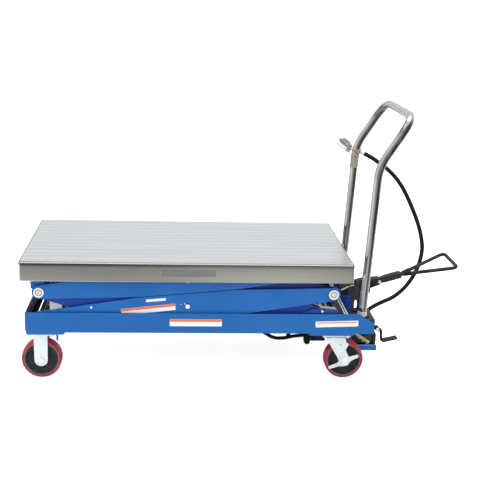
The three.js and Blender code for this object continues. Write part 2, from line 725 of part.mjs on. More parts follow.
// A lever valve outside the far post, clear of the rising platform, with its lever pointing back.
function airValve() {
  const valve = { x: 655.5, y: 262.5, z: 826, yaw: -0.36, lean: 0.57, radius: 10, length: 60 };
  const hinge = { x: 22, z: -17, radius: 2.6 };
  const leverTip = -36;
  const group = new THREE.Group();
  group.position.set(valve.x, valve.y, valve.z);
  group.rotation.set(0, valve.lean, valve.yaw, "ZYX");
  cart.add(group);
  const barrel = new THREE.CylinderGeometry(valve.radius, valve.radius, valve.length, 12).rotateZ(Math.PI / 2);
  const ears = SIDES.map(({ side }) => box(14, 30, side > 0 ? 6.5 : -9.5, side > 0 ? 9.5 : -6.5, -23, 0));
  const pin = barY(hinge.x, hinge.z, hinge.radius, -8, 8, 8);
  add("air_valve_body", join(barrel, ...ears, pin), BRASS, group);
  const arm = join(box(leverTip, hinge.x, -5, 5, -22, -18), barY(hinge.x, hinge.z, 5.5, -5, 5, 8));
  const bore = barY(hinge.x, hinge.z, hinge.radius + PLAY, -6, 6, 8);
  add("air_valve_lever", cut(arm, bore), ZINC, group);
}

// The hose leaves the valve, swings out behind the handle and comes back to the pump.
function airHose() {
  const points = [
    [714, 256, 796],
    [762, 258, 773],
    [793, 258, 753],
    [830, 257, 728],
    [873, 252, 688],
    [907, 243, 642],
    [936, 232, 588],
    [964, 220, 526],
    [985, 206, 464],
    [995, 192, 400],
    [986, 180, 343],
    [970, 170, 303],
    [945, 158, 263],
    [912, 144, 229],
    [868, 126, 201],
    [813, 104, 184],
    [770, 78, 172],
    [739, 49, 160],
  ];
  const path = new THREE.CatmullRomCurve3(points.map((point) => new THREE.Vector3(...point)));
  return sweep(path, 8, 30, 3);
}

// ---------------------------------------------------------------- assembly

add("base_frame", baseFrame(), BLUE_PAINT);
scissors();
shaftsAndRollers();
add("platform_frame", platformFrame(), BLUE_PAINT);
add("platform_deck", platformDeck(), STAINLESS);
for (const { tag, side } of SIDES) {
  rigidCaster(tag, side);
  swivelCaster(tag, side);
}
ram();
pump();
handle();
airValve();
add("air_hose", airHose(), BLACK_RUBBER);

export default cart;
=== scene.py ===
import math

import bmesh
import bpy
from mathutils import Matrix, Vector


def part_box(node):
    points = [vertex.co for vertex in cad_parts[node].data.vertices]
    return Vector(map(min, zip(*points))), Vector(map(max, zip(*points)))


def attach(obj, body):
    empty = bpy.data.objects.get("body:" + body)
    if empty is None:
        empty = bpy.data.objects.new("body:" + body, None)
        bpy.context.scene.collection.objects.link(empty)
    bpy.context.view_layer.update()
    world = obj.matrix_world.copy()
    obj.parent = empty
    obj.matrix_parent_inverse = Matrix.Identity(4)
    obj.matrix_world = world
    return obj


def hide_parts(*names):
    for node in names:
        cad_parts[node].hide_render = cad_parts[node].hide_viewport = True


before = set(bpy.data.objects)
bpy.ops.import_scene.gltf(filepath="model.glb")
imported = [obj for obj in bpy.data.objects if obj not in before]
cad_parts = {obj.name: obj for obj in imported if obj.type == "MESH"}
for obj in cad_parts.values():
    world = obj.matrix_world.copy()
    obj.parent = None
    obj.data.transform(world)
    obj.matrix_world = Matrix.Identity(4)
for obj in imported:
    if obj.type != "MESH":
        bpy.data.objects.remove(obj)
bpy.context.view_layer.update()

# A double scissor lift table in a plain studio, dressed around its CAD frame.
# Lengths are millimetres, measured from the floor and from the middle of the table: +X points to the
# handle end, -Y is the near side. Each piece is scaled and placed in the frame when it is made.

# ---------------------------------------------------------------- places taken from the frame

MM = 0.001
deck_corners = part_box("platform_deck")
TO_FRAME = Matrix.Translation(((deck_corners[0].x + deck_corners[1].x) / 2, 0, 0)) @ Matrix.Scale(MM, 4)
FROM_FRAME = TO_FRAME.inverted()


def extent(node):
    """Lowest and highest corner of a CAD node."""
    return [FROM_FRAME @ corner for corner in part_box(node)]


def centre(node):
    low, high = extent(node)
    return (low + high) / 2


PIVOT_X = centre("base_pivot_shaft").x
BASE_Z = centre("base_pivot_shaft").z
MIDDLE_Z = centre("left_mid_pin_near").z
TABLE_Z = centre("table_pivot_shaft").z
DECK_LOW, DECK_HIGH = extent("platform_deck")
LOWERED = math.atan2((MIDDLE_Z - BASE_Z) / 2, PIVOT_X)
HALF_LEG = math.hypot((MIDDLE_Z - BASE_Z) / 2, PIVOT_X)
LOWER_CROSSING = (BASE_Z + MIDDLE_Z) / 2
UPPER_CROSSING = (MIDDLE_Z + TABLE_Z) / 2
RAIL_LEFT, RAIL_RIGHT = extent("base_frame")[0].x, 704
RAIL_OUTER, RAIL_TOP, RAIL_BOTTOM = 272, 270, 192
WHEEL_RADIUS = centre("hub_left_near").z
TRACK = centre("hub_left_far").y
RIGID_X = centre("hub_left_near").x
TRAILING_X = centre("hub_right_near").x
SWIVEL_X = centre("swivel_plate_near").x
PLATE_TOP = extent("rigid_fork_near")[1].z
PLATE_BOTTOM = PLATE_TOP - 6
RAM_FOOT = centre("ram_base_pin")
RAM_HEAD = centre("ram_rod_pin")
PLUNGER = centre("pump_plunger")
SIDES = (("near", -1), ("far", 1))
UP = (0, 0, 1)
# distances from the middle plane: inner and outer legs, their thickness, and the ends of their pins
INNER_LEG, OUTER_LEG, LEG_THICK = 242, 254, 8
LEG_FACE = OUTER_LEG + LEG_THICK
PIN_INNER, PIN_OUTER = 241.7, 262.3
CHEEK_INSIDE, CHEEK_THICK = 29, 5

# ---------------------------------------------------------------- outlines


def arc(x, z, radius, start, end, steps=12):
    """Points of an arc between two angles in degrees."""
    angles = [math.radians(start + (end - start) * i / steps) for i in range(steps + 1)]
    return [(x + radius * math.cos(a), z + radius * math.sin(a)) for a in angles]


def quarter(steps):
    """Angles from nothing to a right angle."""
    return [math.pi / 2 * i / steps for i in range(steps + 1)]


def ring(x, z, radius, steps=24):
    return arc(x, z, radius, 0, 360, steps)[:-1]


def rounded(corners, steps=4):
    """A closed outline whose corners are given as (x, z, radius)."""
    outline = []
    for i, (x, z, radius) in enumerate(corners):
        here = Vector((x, z))
        back = Vector(corners[i - 1][:2]) - here
        ahead = Vector(corners[(i + 1) % len(corners)][:2]) - here
        reach = min(back.length, ahead.length) * 0.49
        half = back.angle(ahead) / 2
        if radius <= 0 or half > math.radians(89.7) or half < math.radians(2):
            outline.append((x, z))
            continue
        tangent = min(radius / math.tan(half), reach)
        radius = tangent * math.tan(half)
        middle = here + (back.normalized() + ahead.normalized()).normalized() * radius / math.sin(half)
        first = here + back.normalized() * tangent - middle
        last = here + ahead.normalized() * tangent - middle
        start = math.atan2(first.y, first.x)
        turn = (math.atan2(last.y, last.x) - start + math.pi) % (2 * math.pi) - math.pi
        for k in range(steps + 1):
            angle = start + turn * k / steps
            outline.append((middle.x + radius * math.cos(angle), middle.y + radius * math.sin(angle)))
    return outline


def rectangle(x0, x1, z0, z1, radius=0.0, steps=4):
    return rounded([(x0, z0, radius), (x1, z0, radius), (x1, z1, radius), (x0, z1, radius)], steps)


# ---------------------------------------------------------------- solids


def soften(solid, edge, segments=2):
    """Rounds every sharp edge of a solid."""
    bmesh.ops.recalc_face_normals(solid, faces=solid.faces[:])
    if edge > 0:
        sharp = [e for e in solid.edges if len(e.link_faces) == 2 and e.calc_face_angle() > 0.9]
        bmesh.ops.bevel(
            solid, geom=sharp, offset=edge, offset_type="OFFSET", segments=segments, profile=0.5,
            affect="EDGES", clamp_overlap=True,
        )
    return solid


def slab(outline, y0, y1, edge=0.8, holes=()):
    """A flat plate whose outline lies in the X-Z plane, between two values of Y."""
    solid = bmesh.new()
    rims = []
    for loop in [outline, *holes]:
        corners = [solid.verts.new((x, y0, z)) for x, z in loop]
        rims += [solid.edges.new((corners[i - 1], corners[i])) for i in range(len(corners))]
    if holes:
        bmesh.ops.triangle_fill(solid, use_beauty=True, use_dissolve=False, edges=rims)
    else:
        solid.faces.new(corners)
    opposite = {v: solid.verts.new((v.co.x, y1, v.co.z)) for v in solid.verts[:]}
    for face in solid.faces[:]:
        solid.faces.new([opposite[v] for v in face.verts])
    for edge_line in rims:
        a, b = edge_line.verts
        solid.faces.new((a, b, opposite[b], opposite[a]))
    return soften(solid, edge)


def cuboid(x0, x1, y0, y1, z0, z1, edge=1.0):
    return slab(rectangle(x0, x1, z0, z1), min(y0, y1), max(y0, y1), edge)


def flat(outline, z0, z1, edge=0.8, holes=()):
    """A flat plate whose outline lies in the X-Y plane, between two heights."""
    return moved(slab(outline, -z1, -z0, edge, holes), Matrix.Rotation(-math.pi / 2, 4, "X"))


def moved(solid, matrix):
    bmesh.ops.transform(solid, matrix=matrix, verts=solid.verts[:])
    return solid


def shifted(solid, x, y, z):
    return moved(solid, Matrix.Translation((x, y, z)))


def skin(solid, first, second):
    """Faces between two rings of vertices; a ring of one vertex is a pole."""
    count = max(len(first), len(second))
    for i in range(count):
        j = (i + 1) % count
        corners = [first[i % len(first)], first[j % len(first)]]
        corners += [second[j % len(second)], second[i % len(second)]]
        corners = list(dict.fromkeys(corners))
        if len(corners) > 2:
            solid.faces.new(corners)


def lathe(profile, at=(0, 0, 0), along=(0, 1, 0), sides=48):
    """A solid turned around an axis; the profile holds (radius, height) points round a closed section."""
    solid = bmesh.new()
    rings = []
    for radius, height in profile:
        if radius < 1e-4:
            rings.append([solid.verts.new((0, 0, height))])
            continue
        angles = [2 * math.pi * i / sides for i in range(sides)]
        rings.append([solid.verts.new((radius * math.cos(a), radius * math.sin(a), height)) for a in angles])
    on_axis = profile[0][0] < 1e-4 and profile[-1][0] < 1e-4
    for i in range(len(rings) - (1 if on_axis else 0)):
        skin(solid, rings[i], rings[(i + 1) % len(rings)])
    bmesh.ops.recalc_face_normals(solid, faces=solid.faces[:])
    turn = Vector(along).to_track_quat("Z", "Y").to_matrix().to_4x4()
    return moved(solid, Matrix.Translation(at) @ turn)


def turned(profile, side, **place):
    """A solid turned around the Y axis, from (radius, distance) points, on the given side."""
    return lathe([(radius, side * distance) for radius, distance in profile], **place)


def disc(radius, start, end, edge=0.8, inner=0.0, **place):
    """A turned disc or ring with softened rims."""
    edge = min(edge, abs(end - start) * 0.45, (radius - inner) * 0.45)
    hollow = 0 if inner < 1e-4 else edge
    corners = [(inner, start, hollow), (radius, start, edge), (radius, end, edge), (inner, end, hollow)]
    profile = rounded(corners, 3)
    return lathe(profile, **place)


def hexagon(across, start, end, **place):
    """A hexagonal head or nut with its corners turned off."""
    radius = across / math.sqrt(3)
    chamfer = across * 0.08
    profile = [
        (0, start),
        (radius - chamfer, start),
        (radius, start + chamfer * 0.6),
        (radius, end - chamfer * 0.6),
        (radius - chamfer, end),
        (0, end),
    ]
    return lathe(profile, sides=6, **place)


def bolt(across, height, at, along=(0, 1, 0)):
    """A hexagon bolt head on a washer, seen from outside."""
    return merged(
        disc(across * 0.72, 0, 1.6, 0.4, at=at, along=along, sides=28),
        hexagon(across, 1.6, 1.6 + height, at=at, along=along),
    )


def tube(path, radius, sides=16):
    """A round bar along a line of points, with domed ends; the radius may change along the way."""
    points = [Vector(p) for p in path]
    radii = radius if isinstance(radius, list) else [radius] * len(points)
    solid = bmesh.new()
    heading = (points[1] - points[0]).normalized()
    across = heading.orthogonal().normalized()
    rings = [[solid.verts.new(points[0] - heading * radii[0] * 0.15)]]
    for i, point in enumerate(points):
        before = point - points[i - 1] if i else heading
        after = points[i + 1] - point if i + 1 < len(points) else before
        heading = (before.normalized() + after.normalized()).normalized()
        across = (across - heading * across.dot(heading)).normalized()
        side = heading.cross(across)
        angles = [2 * math.pi * k / sides for k in range(sides)]
        rings.append([
            solid.verts.new(point + (across * math.cos(a) + side * math.sin(a)) * radii[i]) for a in angles
        ])
    rings.append([solid.verts.new(points[-1] + heading * radii[-1] * 0.15)])
    for first, second in zip(rings, rings[1:]):
        skin(solid, first, second)
    bmesh.ops.recalc_face_normals(solid, faces=solid.faces[:])
    return solid


def bent(points, bend, steps=8):
    """A line of points whose inner corners are rounded."""
    corners = [Vector(p) for p in points]
    path = [corners[0]]
    for before, corner, after in zip(corners, corners[1:], corners[2:]):
        entry = corner + (before - corner).normalized() * bend
        leave = corner + (after - corner).normalized() * bend
        for k in range(steps + 1):
            t = k / steps
            path.append(entry * (1 - t) ** 2 + corner * 2 * t * (1 - t) + leave * t**2)
    return path + [corners[-1]]


def hoop(x, y, z, radius):
    """A full turn in an X-Z plane."""
    return [(a, y, b) for a, b in arc(x, z, radius, 0, 360, 16)]


def flowing(points, steps=8):
    """A smooth line through the given points."""
    knots = [Vector(p) for p in points]
    knots = [knots[0] * 2 - knots[1], *knots, knots[-1] * 2 - knots[-2]]
    path = []
    for a, b, c, d in zip(knots, knots[1:], knots[2:], knots[3:]):
        for k in range(steps):
            t = k / steps
            doubled = b * 2 + (c - a) * t + (a * 2 - b * 5 + c * 4 - d) * t**2
            path.append((doubled + (b * 3 - a - c * 3 + d) * t**3) / 2)
    return path + [knots[-2]]


def coil(start, end, radius, turns, wire):
    """A coil spring of round wire between two points."""
    start, end = Vector(start), Vector(end)
    axis = (end - start).normalized()
    across = axis.orthogonal().normalized()
    side = axis.cross(across)
    steps = int(turns * 12)
    path = []
    for k in range(steps + 1):
        angle = 2 * math.pi * turns * k / steps
        outward = across * math.cos(angle) + side * math.sin(angle)
        path.append(start.lerp(end, k / steps) + outward * radius)
    return tube(path, wire, 8)


def merged(*solids):
    """Several solids as one."""
    whole = bmesh.new()
    for solid in solids:
        mesh = bpy.data.meshes.new("part")
        solid.to_mesh(mesh)
        whole.from_mesh(mesh)
        bpy.data.meshes.remove(mesh)
        solid.free()
    return whole


def piece(name, body, parts, replaces=(), smooth=32):
    """One named object on a CAD body, from a list of (material, solid)."""
    mesh = bpy.data.meshes.new(name)
    whole = bmesh.new()
    for index, (material, solid) in enumerate(parts):
        mesh.materials.append(material)
        part = bpy.data.meshes.new("part")
        for face in solid.faces:
            face.material_index = index
        solid.to_mesh(part)
        solid.free()
        whole.from_mesh(part)
        bpy.data.meshes.remove(part)
    whole.transform(TO_FRAME)
    whole.to_mesh(mesh)
    whole.free()
    mesh.shade_smooth()
    mesh.set_sharp_from_angle(angle=math.radians(smooth))
    made = bpy.data.objects.new(name, mesh)
    bpy.context.scene.collection.objects.link(made)
    flatten = made.modifiers.new("weighted normals", "WEIGHTED_NORMAL")
    flatten.keep_sharp = True
    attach(made, body)
    if replaces:
        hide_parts(*replaces)
    return made


# ---------------------------------------------------------------- materials


class Nodes:
    """Short calls that add nodes to a tree and feed their sockets."""

    def __init__(self, tree):
        self.tree = tree

    def node(self, kind, settings=None, **values):
        made = self.tree.nodes.new("ShaderNode" + kind)
        for key, value in (settings or {}).items():
            setattr(made, key, value)
        for key, value in values.items():
            self.feed(made.inputs[key.replace("_", " ")], value)
        return made

    def feed(self, socket, value):
        if isinstance(value, bpy.types.NodeSocket):
            self.tree.links.new(value, socket)
        else:
            socket.default_value = value

    def math(self, operation, a, b=0.0):
        made = self.node("Math", {"operation": operation})
        self.feed(made.inputs[0], a)
        self.feed(made.inputs[1], b)
        return made.outputs[0]

    def times(self, a, b):
        return self.math("MULTIPLY", a, b)

    def split(self, vector):
        return self.node("SeparateXYZ", Vector=vector).outputs

    def spread(self, value, low, high, start=0.0, end=1.0):
        """A value between low and high brought to start and end, and clamped."""
        made = self.node("MapRange", Value=value, From_Min=low, From_Max=high, To_Min=start, To_Max=end)
        return made.outputs[0]

    def blend(self, share, first, second, mode="MIX"):
        made = self.node("Mix", {"data_type": "RGBA", "blend_type": mode})
        factor, colours = made.inputs[0], made.inputs[6:8]
        for socket, value in zip((factor, *colours), (share, first, second)):
            self.feed(socket, value)
        return made.outputs[2]

    def azimuth_tone(self, direction, ramp_points):
        """A grey tone that changes with the compass direction of a vector."""
        across = self.split(direction)
        share = self.spread(self.math("ARCTAN2", across["X"], across["Y"]), -math.pi, math.pi)
        ramp = self.node("ValToRGB", Fac=share)
        ramp.color_ramp.interpolation = "EASE"
        while len(ramp.color_ramp.elements) < len(ramp_points):
            ramp.color_ramp.elements.new(0.5)
        for element, (degrees, tone) in zip(ramp.color_ramp.elements, ramp_points):
            element.position = (degrees + 180) / 360
            element.color = grey(tone)
        return ramp.outputs[0]


class Finish(Nodes):
    """A Principled material and the nodes that feed it. Coordinates are metres."""

    def __init__(self, name, metallic, roughness):
        self.material = bpy.data.materials.new(name)
        self.material.use_nodes = True
        super().__init__(self.material.node_tree)
        self.shader = self.tree.nodes["Principled BSDF"]
        self.set(Metallic=metallic, Roughness=roughness)
        self.place = self.node("TexCoord").outputs["Object"]

    def set(self, **values):
        for key, value in values.items():
            self.feed(self.shader.inputs[key.replace("_", " ")], value)

    def normal(self):
        return self.node("NewGeometry").outputs["Normal"]

    def stretched(self, x=1.0, y=1.0, z=1.0):
        return self.node("Mapping", Vector=self.place, Scale=(x, y, z)).outputs[0]

    def noise(self, scale, detail=3.0, vector=None):
        made = self.node("TexNoise", Vector=vector or self.place, Scale=scale, Detail=detail)
        return made.outputs["Fac"]

    def patches(self, scale, detail, low, high, start=0.0, end=1.0):
        """Noise between low and high brought to start and end."""
        return self.spread(self.noise(scale, detail), low, high, start, end)

    def edges(self, width):
        """1 on sharp outer edges within the given width, 0 on open faces."""
        soft = self.node("Bevel", {"samples": 4}, Radius=width).outputs[0]
        together = self.node("VectorMath", {"operation": "DOT_PRODUCT"})
        self.feed(together.inputs[0], soft)
        self.feed(together.inputs[1], self.normal())
        return self.spread(together.outputs["Value"], 0.99, 0.85)

    def rubbed(self, base, width, share, colour):
        """The base with some of another colour along its sharp outer edges."""
        return self.blend(self.times(self.edges(width), share), base, colour)

    def bump(self, height, distance):
        made = self.node("Bump", Height=height, Distance=distance)
        self.set(Normal=made.outputs[0])


def grey(value, warm=0.0):
    return (value * (1 + warm), value, value * (1 - warm), 1)


def powder_coat(name, colour, shade, gloss=1.0):
    """Powder coat: orange peel, a slow drift of tone, and paler paint along the edges that is partly paint
    wear and partly a painted highlight.
    """
    look = Finish(name, 0.0, 0.34)
    base = look.blend(look.patches(3.0, 2.0, 0.35, 0.65), shade, colour)
    dust = look.patches(9.0, 5.0, 0.5, 0.8, 0.0, 0.06)
    base = look.blend(look.times(dust, gloss), base, (0.16, 0.30, 0.55, 1))
    # paler chips along the sharp edges: paint wear, and also a painted highlight where the edges catch light
    chips = look.patches(420.0, 4.0, 0.46, 0.6)
    worn_and_highlit_edges = look.times(look.edges(0.0012), chips)
    base = look.blend(look.times(worn_and_highlit_edges, 0.5), base, (0.30, 0.44, 0.66, 1))
    look.set(Base_Color=base)
    look.set(Roughness=look.patches(90.0, 3.0, 0.3, 0.7, 0.28, 0.42))
    look.set(Specular_IOR_Level=0.3 * gloss, Coat_Weight=0.08 * gloss, Coat_Roughness=0.12)
    look.bump(look.noise(620.0, 2.0), 0.00006)
    return look.material


def brushed_sheet(name):
    """Brushed stainless, striped on top, with painted reflections: a pale top, warm grey sides that darken
    to the left and towards the top, and dark and pale bands on its folds and corners.
    """
    look = Finish(name, 1.0, 0.3)
    grain = look.noise(1.0, 4.0, look.stretched(6.0, 1400.0, 1400.0))
    place = look.split(look.place)
    normal = look.split(look.normal())
    stripe_pitch = 0.0445
    wave = look.math("SINE", look.times(place["Y"], 2 * math.pi / stripe_pitch))
    wander = look.noise(1.0, 3.0, look.stretched(2.5, 22.0, 22.0))
    stripe = look.times(look.spread(wave, 0.72, 0.96), look.spread(wander, 0.15, 0.45))
    # the top is given a paler colour than the sides: a painted reflection of the bright overhead
    top = look.blend(look.spread(wander, 0.3, 0.7), (0.77, 0.815, 0.83, 1), (0.83, 0.87, 0.88, 1))
    top = look.blend(look.times(stripe, 0.8), top, (0.99, 1.0, 1.0, 1))
    # the sides brighten from left to right: a painted reflection
    along = look.spread(place["X"], -0.85, 0.40)
    patches = look.noise(1.0, 2.0, look.stretched(5.5, 6.0, 9.0))
    side = look.blend(along, (0.51, 0.51, 0.45, 1), (0.72, 0.715, 0.635, 1))
    side = look.blend(look.spread(patches, 0.35, 0.7, 0.0, 0.6), side, grey(0.52, 0.03))
    # the sides darken towards their top: painted shade
    side = look.blend(look.spread(place["Z"], 0.415, 0.463, 0.0, 0.55), side, grey(0.30, 0.03))
    # a near-black line just under the top fold, strongest at the left: a painted dark reflection of the bend
    shade = look.times(
        look.spread(place["Z"], 0.4545, 0.4665),
        look.spread(place["X"], -0.75, 0.15, 0.97, 0.55),
    )
    side = look.blend(shade, side, grey(0.03))
    # bands set by how far a face turns up paint the reflections on the folds: dark at the foot of the top
    # bend, then pale, then darker grey, then the top
    dark, pale = grey(0.07), grey(0.90)
    # a pale line on the rounded upright corners: a painted highlight
    corner = look.math("ABSOLUTE", look.times(normal["X"], normal["Y"]))
    side = look.blend(look.spread(corner, 0.1, 0.3), side, pale)
    # faces turned down under the hem are pale: a painted highlight
    side = look.blend(look.spread(normal["Z"], -0.1, -0.35), side, grey(0.85, 0.02))
    base = look.blend(look.spread(normal["Z"], 0.01, 0.05), side, dark)
    base = look.blend(look.spread(normal["Z"], 0.28, 0.36), base, pale)
    base = look.blend(look.spread(normal["Z"], 0.56, 0.64), base, grey(0.22))
    base = look.blend(look.spread(normal["Z"], 0.985, 0.999), base, top)
    base = look.blend(look.spread(grain, 0.3, 0.75, 0.0, 0.14), base, grey(0.30, 0.05))
    look.set(Base_Color=base)
    look.set(Roughness=look.spread(grain, 0.25, 0.75, 0.24, 0.40))
    look.bump(grain, 0.000025)
    return look.material


def plated(name, colour, tint, roughness=0.4):
    """Zinc plate: matt crystals a few millimetres across, cloudy stains and brighter edges."""
    look = Finish(name, 0.12, roughness)
    crystals = look.node("TexVoronoi", Vector=look.place, Scale=260.0).outputs["Color"]
    base = look.blend(look.patches(26.0, 4.0, 0.35, 0.7), colour, tint)
    base = look.blend(0.10, base, crystals, "OVERLAY")
    base = look.rubbed(base, 0.001, 0.6, (0.92, 0.95, 0.96, 1))
    look.set(Base_Color=base)
    look.set(Roughness=look.patches(140.0, 3.0, 0.3, 0.7, roughness - 0.08, roughness + 0.1))
    look.bump(look.noise(900.0, 2.0), 0.00003)
    return look.material


def ground_shaft(name):
    """Oiled ground steel: dark, with a narrow painted highlight line down each side."""
    look = Finish(name, 0.0, 0.7)
    look.set(Specular_IOR_Level=0.05)
    normal = look.split(look.normal())
    sideways = look.math("ABSOLUTE", normal["X"])
    # a bright line where the surface turns sideways: a painted highlight
    line = look.times(look.spread(sideways, 0.66, 0.72), look.spread(sideways, 0.90, 0.86))
    upright = look.spread(look.math("ABSOLUTE", normal["Y"]), 0.1, 0.5)
    oil = look.blend(look.patches(40.0, 4.0, 0.35, 0.7), grey(0.014), grey(0.035))
    base = look.blend(line, oil, (0.72, 0.78, 0.84, 1))
    look.set(Base_Color=look.blend(upright, base, grey(0.7)))
    look.bump(look.noise(1.0, 3.0, look.stretched(900.0, 6.0, 900.0)), 0.00001)
    return look.material


def polished(name):
    """Chrome-plated tube: mirror bright, with hazy finger marks, fine draw lines, and painted dark
    reflections down one side and round the top bends.
    """
    look = Finish(name, 1.0, 0.08)
    haze = look.patches(18.0, 4.0, 0.45, 0.75)
    draw = look.noise(1.0, 3.0, look.stretched(900.0, 900.0, 5.0))
    base = look.blend(haze, (0.66, 0.655, 0.63, 1), (0.56, 0.55, 0.52, 1))
    place = look.split(look.place)
    sideways = look.split(look.normal())["X"]
    # a ragged dark band down one side of the tube, between set heights: a painted dark reflection
    dark_reflection = look.times(look.spread(sideways, -0.30, -0.08), look.spread(sideways, 0.80, 0.62))
    height = look.times(look.spread(place["Z"], 0.30, 0.62), look.spread(place["Z"], 1.0, 0.985))
    ragged = look.spread(look.noise(1.0, 4.0, look.stretched(60.0, 60.0, 9.0)), 0.3, 0.55, 0.55, 1.0)
    # a dark band near the top bends of the handle: a painted dark reflection
    corner = look.times(look.spread(place["Z"], 0.935, 0.96), look.spread(place["Z"], 1.0, 0.992))
    dark_reflection = look.math("MAXIMUM", look.times(dark_reflection, height), look.times(corner, 0.9))
    dark_reflection = look.times(dark_reflection, ragged)
    look.set(Base_Color=look.blend(look.times(dark_reflection, 0.85), base, (0.07, 0.075, 0.08, 1)))
    wear = look.spread(haze, 0, 1, 0.07, 0.17)
    look.set(Roughness=look.math("ADD", wear, look.spread(draw, 0, 1, 0, 0.05)))
    look.bump(draw, 0.000008)
    return look.material


def cast_iron(name, colour, roughness=0.55):
    """Black enamel over cast or sawn steel: pitted, dusty on top, greyer on its edges."""
    look = Finish(name, 0.0, roughness)
    look.set(Specular_IOR_Level=0.28)
    pits = look.noise(380.0, 5.0)
    base = look.blend(look.patches(30.0, 4.0, 0.4, 0.7, 0.0, 0.6), colour, grey(0.055))
    base = look.rubbed(base, 0.0014, 0.5, grey(0.20))
    look.set(Base_Color=base)
    look.set(Roughness=look.spread(pits, 0.3, 0.7, roughness - 0.12, roughness + 0.12))
    look.bump(pits, 0.00014)
    return look.material


def urethane(name):
    """Crimson polyurethane: slightly translucent, scuffed dull on the running face."""
    look = Finish(name, 0.0, 0.38)
    scuff = look.patches(170.0, 5.0, 0.45, 0.7)
    tone = look.patches(22.0, 3.0, 0.35, 0.65)
    base = look.blend(tone, (0.31, 0.012, 0.03, 1), (0.42, 0.02, 0.045, 1))
    base = look.blend(look.times(scuff, 0.16), base, (0.42, 0.17, 0.17, 1))
    look.set(Base_Color=base)
    look.set(Roughness=look.spread(scuff, 0, 1, 0.3, 0.52))
    look.set(Subsurface_Weight=0.08, Subsurface_Radius=(0.004, 0.001, 0.001), Subsurface_Scale=0.5)
    look.bump(look.noise(700.0, 3.0), 0.00005)
    return look.material


def rubber(name, colour):
    """Black rubber with a cloth-like skin and grey bloom."""
    look = Finish(name, 0.0, 0.6)
    bloom = look.patches(45.0, 4.0, 0.5, 0.8, 0.0, 0.35)
    look.set(Base_Color=look.blend(bloom, colour, grey(0.03, 0.05)), Specular_IOR_Level=0.2)
    look.set(Roughness=look.patches(240.0, 3.0, 0.3, 0.7, 0.46, 0.7))
    weave = look.node("TexWave", Vector=look.place, Scale=260.0, Distortion=1.5, Detail=1.0).outputs["Fac"]
    look.bump(weave, 0.00006)
    return look.material


def brass(name):
    look = Finish(name, 0.55, 0.32)
    tarnish = look.patches(60.0, 4.0, 0.45, 0.7)
    look.set(Base_Color=look.blend(tarnish, (0.78, 0.66, 0.40, 1), (0.50, 0.40, 0.22, 1)))
    look.set(Roughness=look.spread(tarnish, 0, 1, 0.24, 0.46))
    look.bump(look.noise(800.0, 2.0), 0.00003)
    return look.material


def printed(name, colour, roughness=0.5):
    """Vinyl label stock: a faint paper grain and slightly dirty rims."""
    look = Finish(name, 0.0, roughness)
    dirt = look.patches(120.0, 5.0, 0.5, 0.8, 0.0, 0.14)
    look.set(Base_Color=look.blend(dirt, colour, grey(0.42, 0.05)))
    look.bump(look.noise(1500.0, 2.0), 0.00002)
    return look.material


def cloth_tape(name):
    """Beige cloth tape with a fine plain weave."""
    look = Finish(name, 0.0, 0.8)
    weave = look.node("TexWave", {"bands_direction": "Z"}, Vector=look.place, Scale=320.0, Distortion=0.6)
    stain = look.patches(90.0, 4.0, 0.4, 0.7)
    look.set(Base_Color=look.blend(stain, (0.36, 0.31, 0.24, 1), (0.20, 0.155, 0.105, 1)))
    look.bump(weave.outputs["Fac"], 0.00015)
    return look.material


BLUE = powder_coat("blue_powder_coat", (0.010, 0.142, 0.47, 1), (0.007, 0.122, 0.425, 1))
# the rail blue is a slightly darker copy of the same blue paint: painted shade
RAIL_BLUE_SHADED = powder_coat("blue_powder_coat_rail_shaded", (0.008, 0.128, 0.42, 1), (0.006, 0.112, 0.38, 1))
SHADED_BLUE = powder_coat("blue_powder_coat_shaded", (0.007, 0.050, 0.34, 1), (0.005, 0.042, 0.29, 1))
# a darker navy copy of the blue for the upper inner legs: painted shade under the deck
SHADE_NAVY = powder_coat("blue_powder_coat_upper_legs_shaded", (0.006, 0.030, 0.24, 1), (0.004, 0.024, 0.20, 1))
# a paler copy of the blue for the top lip of the pump tray: a painted highlight along its top edge
LIP_HIGHLIGHT_BLUE = powder_coat("blue_powder_coat_lip_highlight", (0.12, 0.34, 0.66, 1), (0.09, 0.30, 0.62, 1))
# a near-black copy of the blue for the cross members inside the frame: painted shade
INSIDE_SHADE = powder_coat(
    "blue_powder_coat_cross_members_shaded", (0.001, 0.005, 0.028, 1), (0.001, 0.004, 0.02, 1), 0.1
)
# a darker copy of the blue for the frame under the deck and the washers under the crossing pins: painted
# shade
DEEP_BLUE_SHADE = powder_coat("blue_powder_coat_inside_shaded", (0.005, 0.030, 0.20, 1), (0.004, 0.022, 0.16, 1), 0.5)
SHEET = brushed_sheet("brushed_stainless")
ZINC = plated("zinc_plate", (0.70, 0.79, 0.81, 1), (0.82, 0.89, 0.90, 1))
PIN_STEEL = plated("bright_zinc", (0.88, 0.89, 0.86, 1), (0.94, 0.94, 0.91, 1), 0.34)
PIN_FACE = plated("dull_zinc", (0.56, 0.56, 0.53, 1), (0.80, 0.80, 0.76, 1), 0.4)
CHROME = polished("chrome_plate")
BLACK = cast_iron("black_enamel", (0.016, 0.016, 0.018, 1))
HUB_BLACK = cast_iron("hub_black", (0.020, 0.021, 0.026, 1), 0.62)
CHARCOAL = cast_iron("charcoal_enamel", (0.045, 0.046, 0.052, 1), 0.5)
RIM_GREY = cast_iron("rim_grey", (0.20, 0.23, 0.21, 1), 0.6)
VALVE_GREY = plated("valve_casting", (0.10, 0.115, 0.105, 1), (0.30, 0.32, 0.30, 1), 0.45)
CRIMSON = urethane("crimson_urethane")
RUBBER = rubber("black_rubber", (0.009, 0.008, 0.007, 1))
BRASS = brass("brass")
WHITE_LABEL = printed("white_label", (0.86, 0.86, 0.85, 1))
ORANGE_LABEL = printed("orange_label", (0.86, 0.16, 0.05, 1))
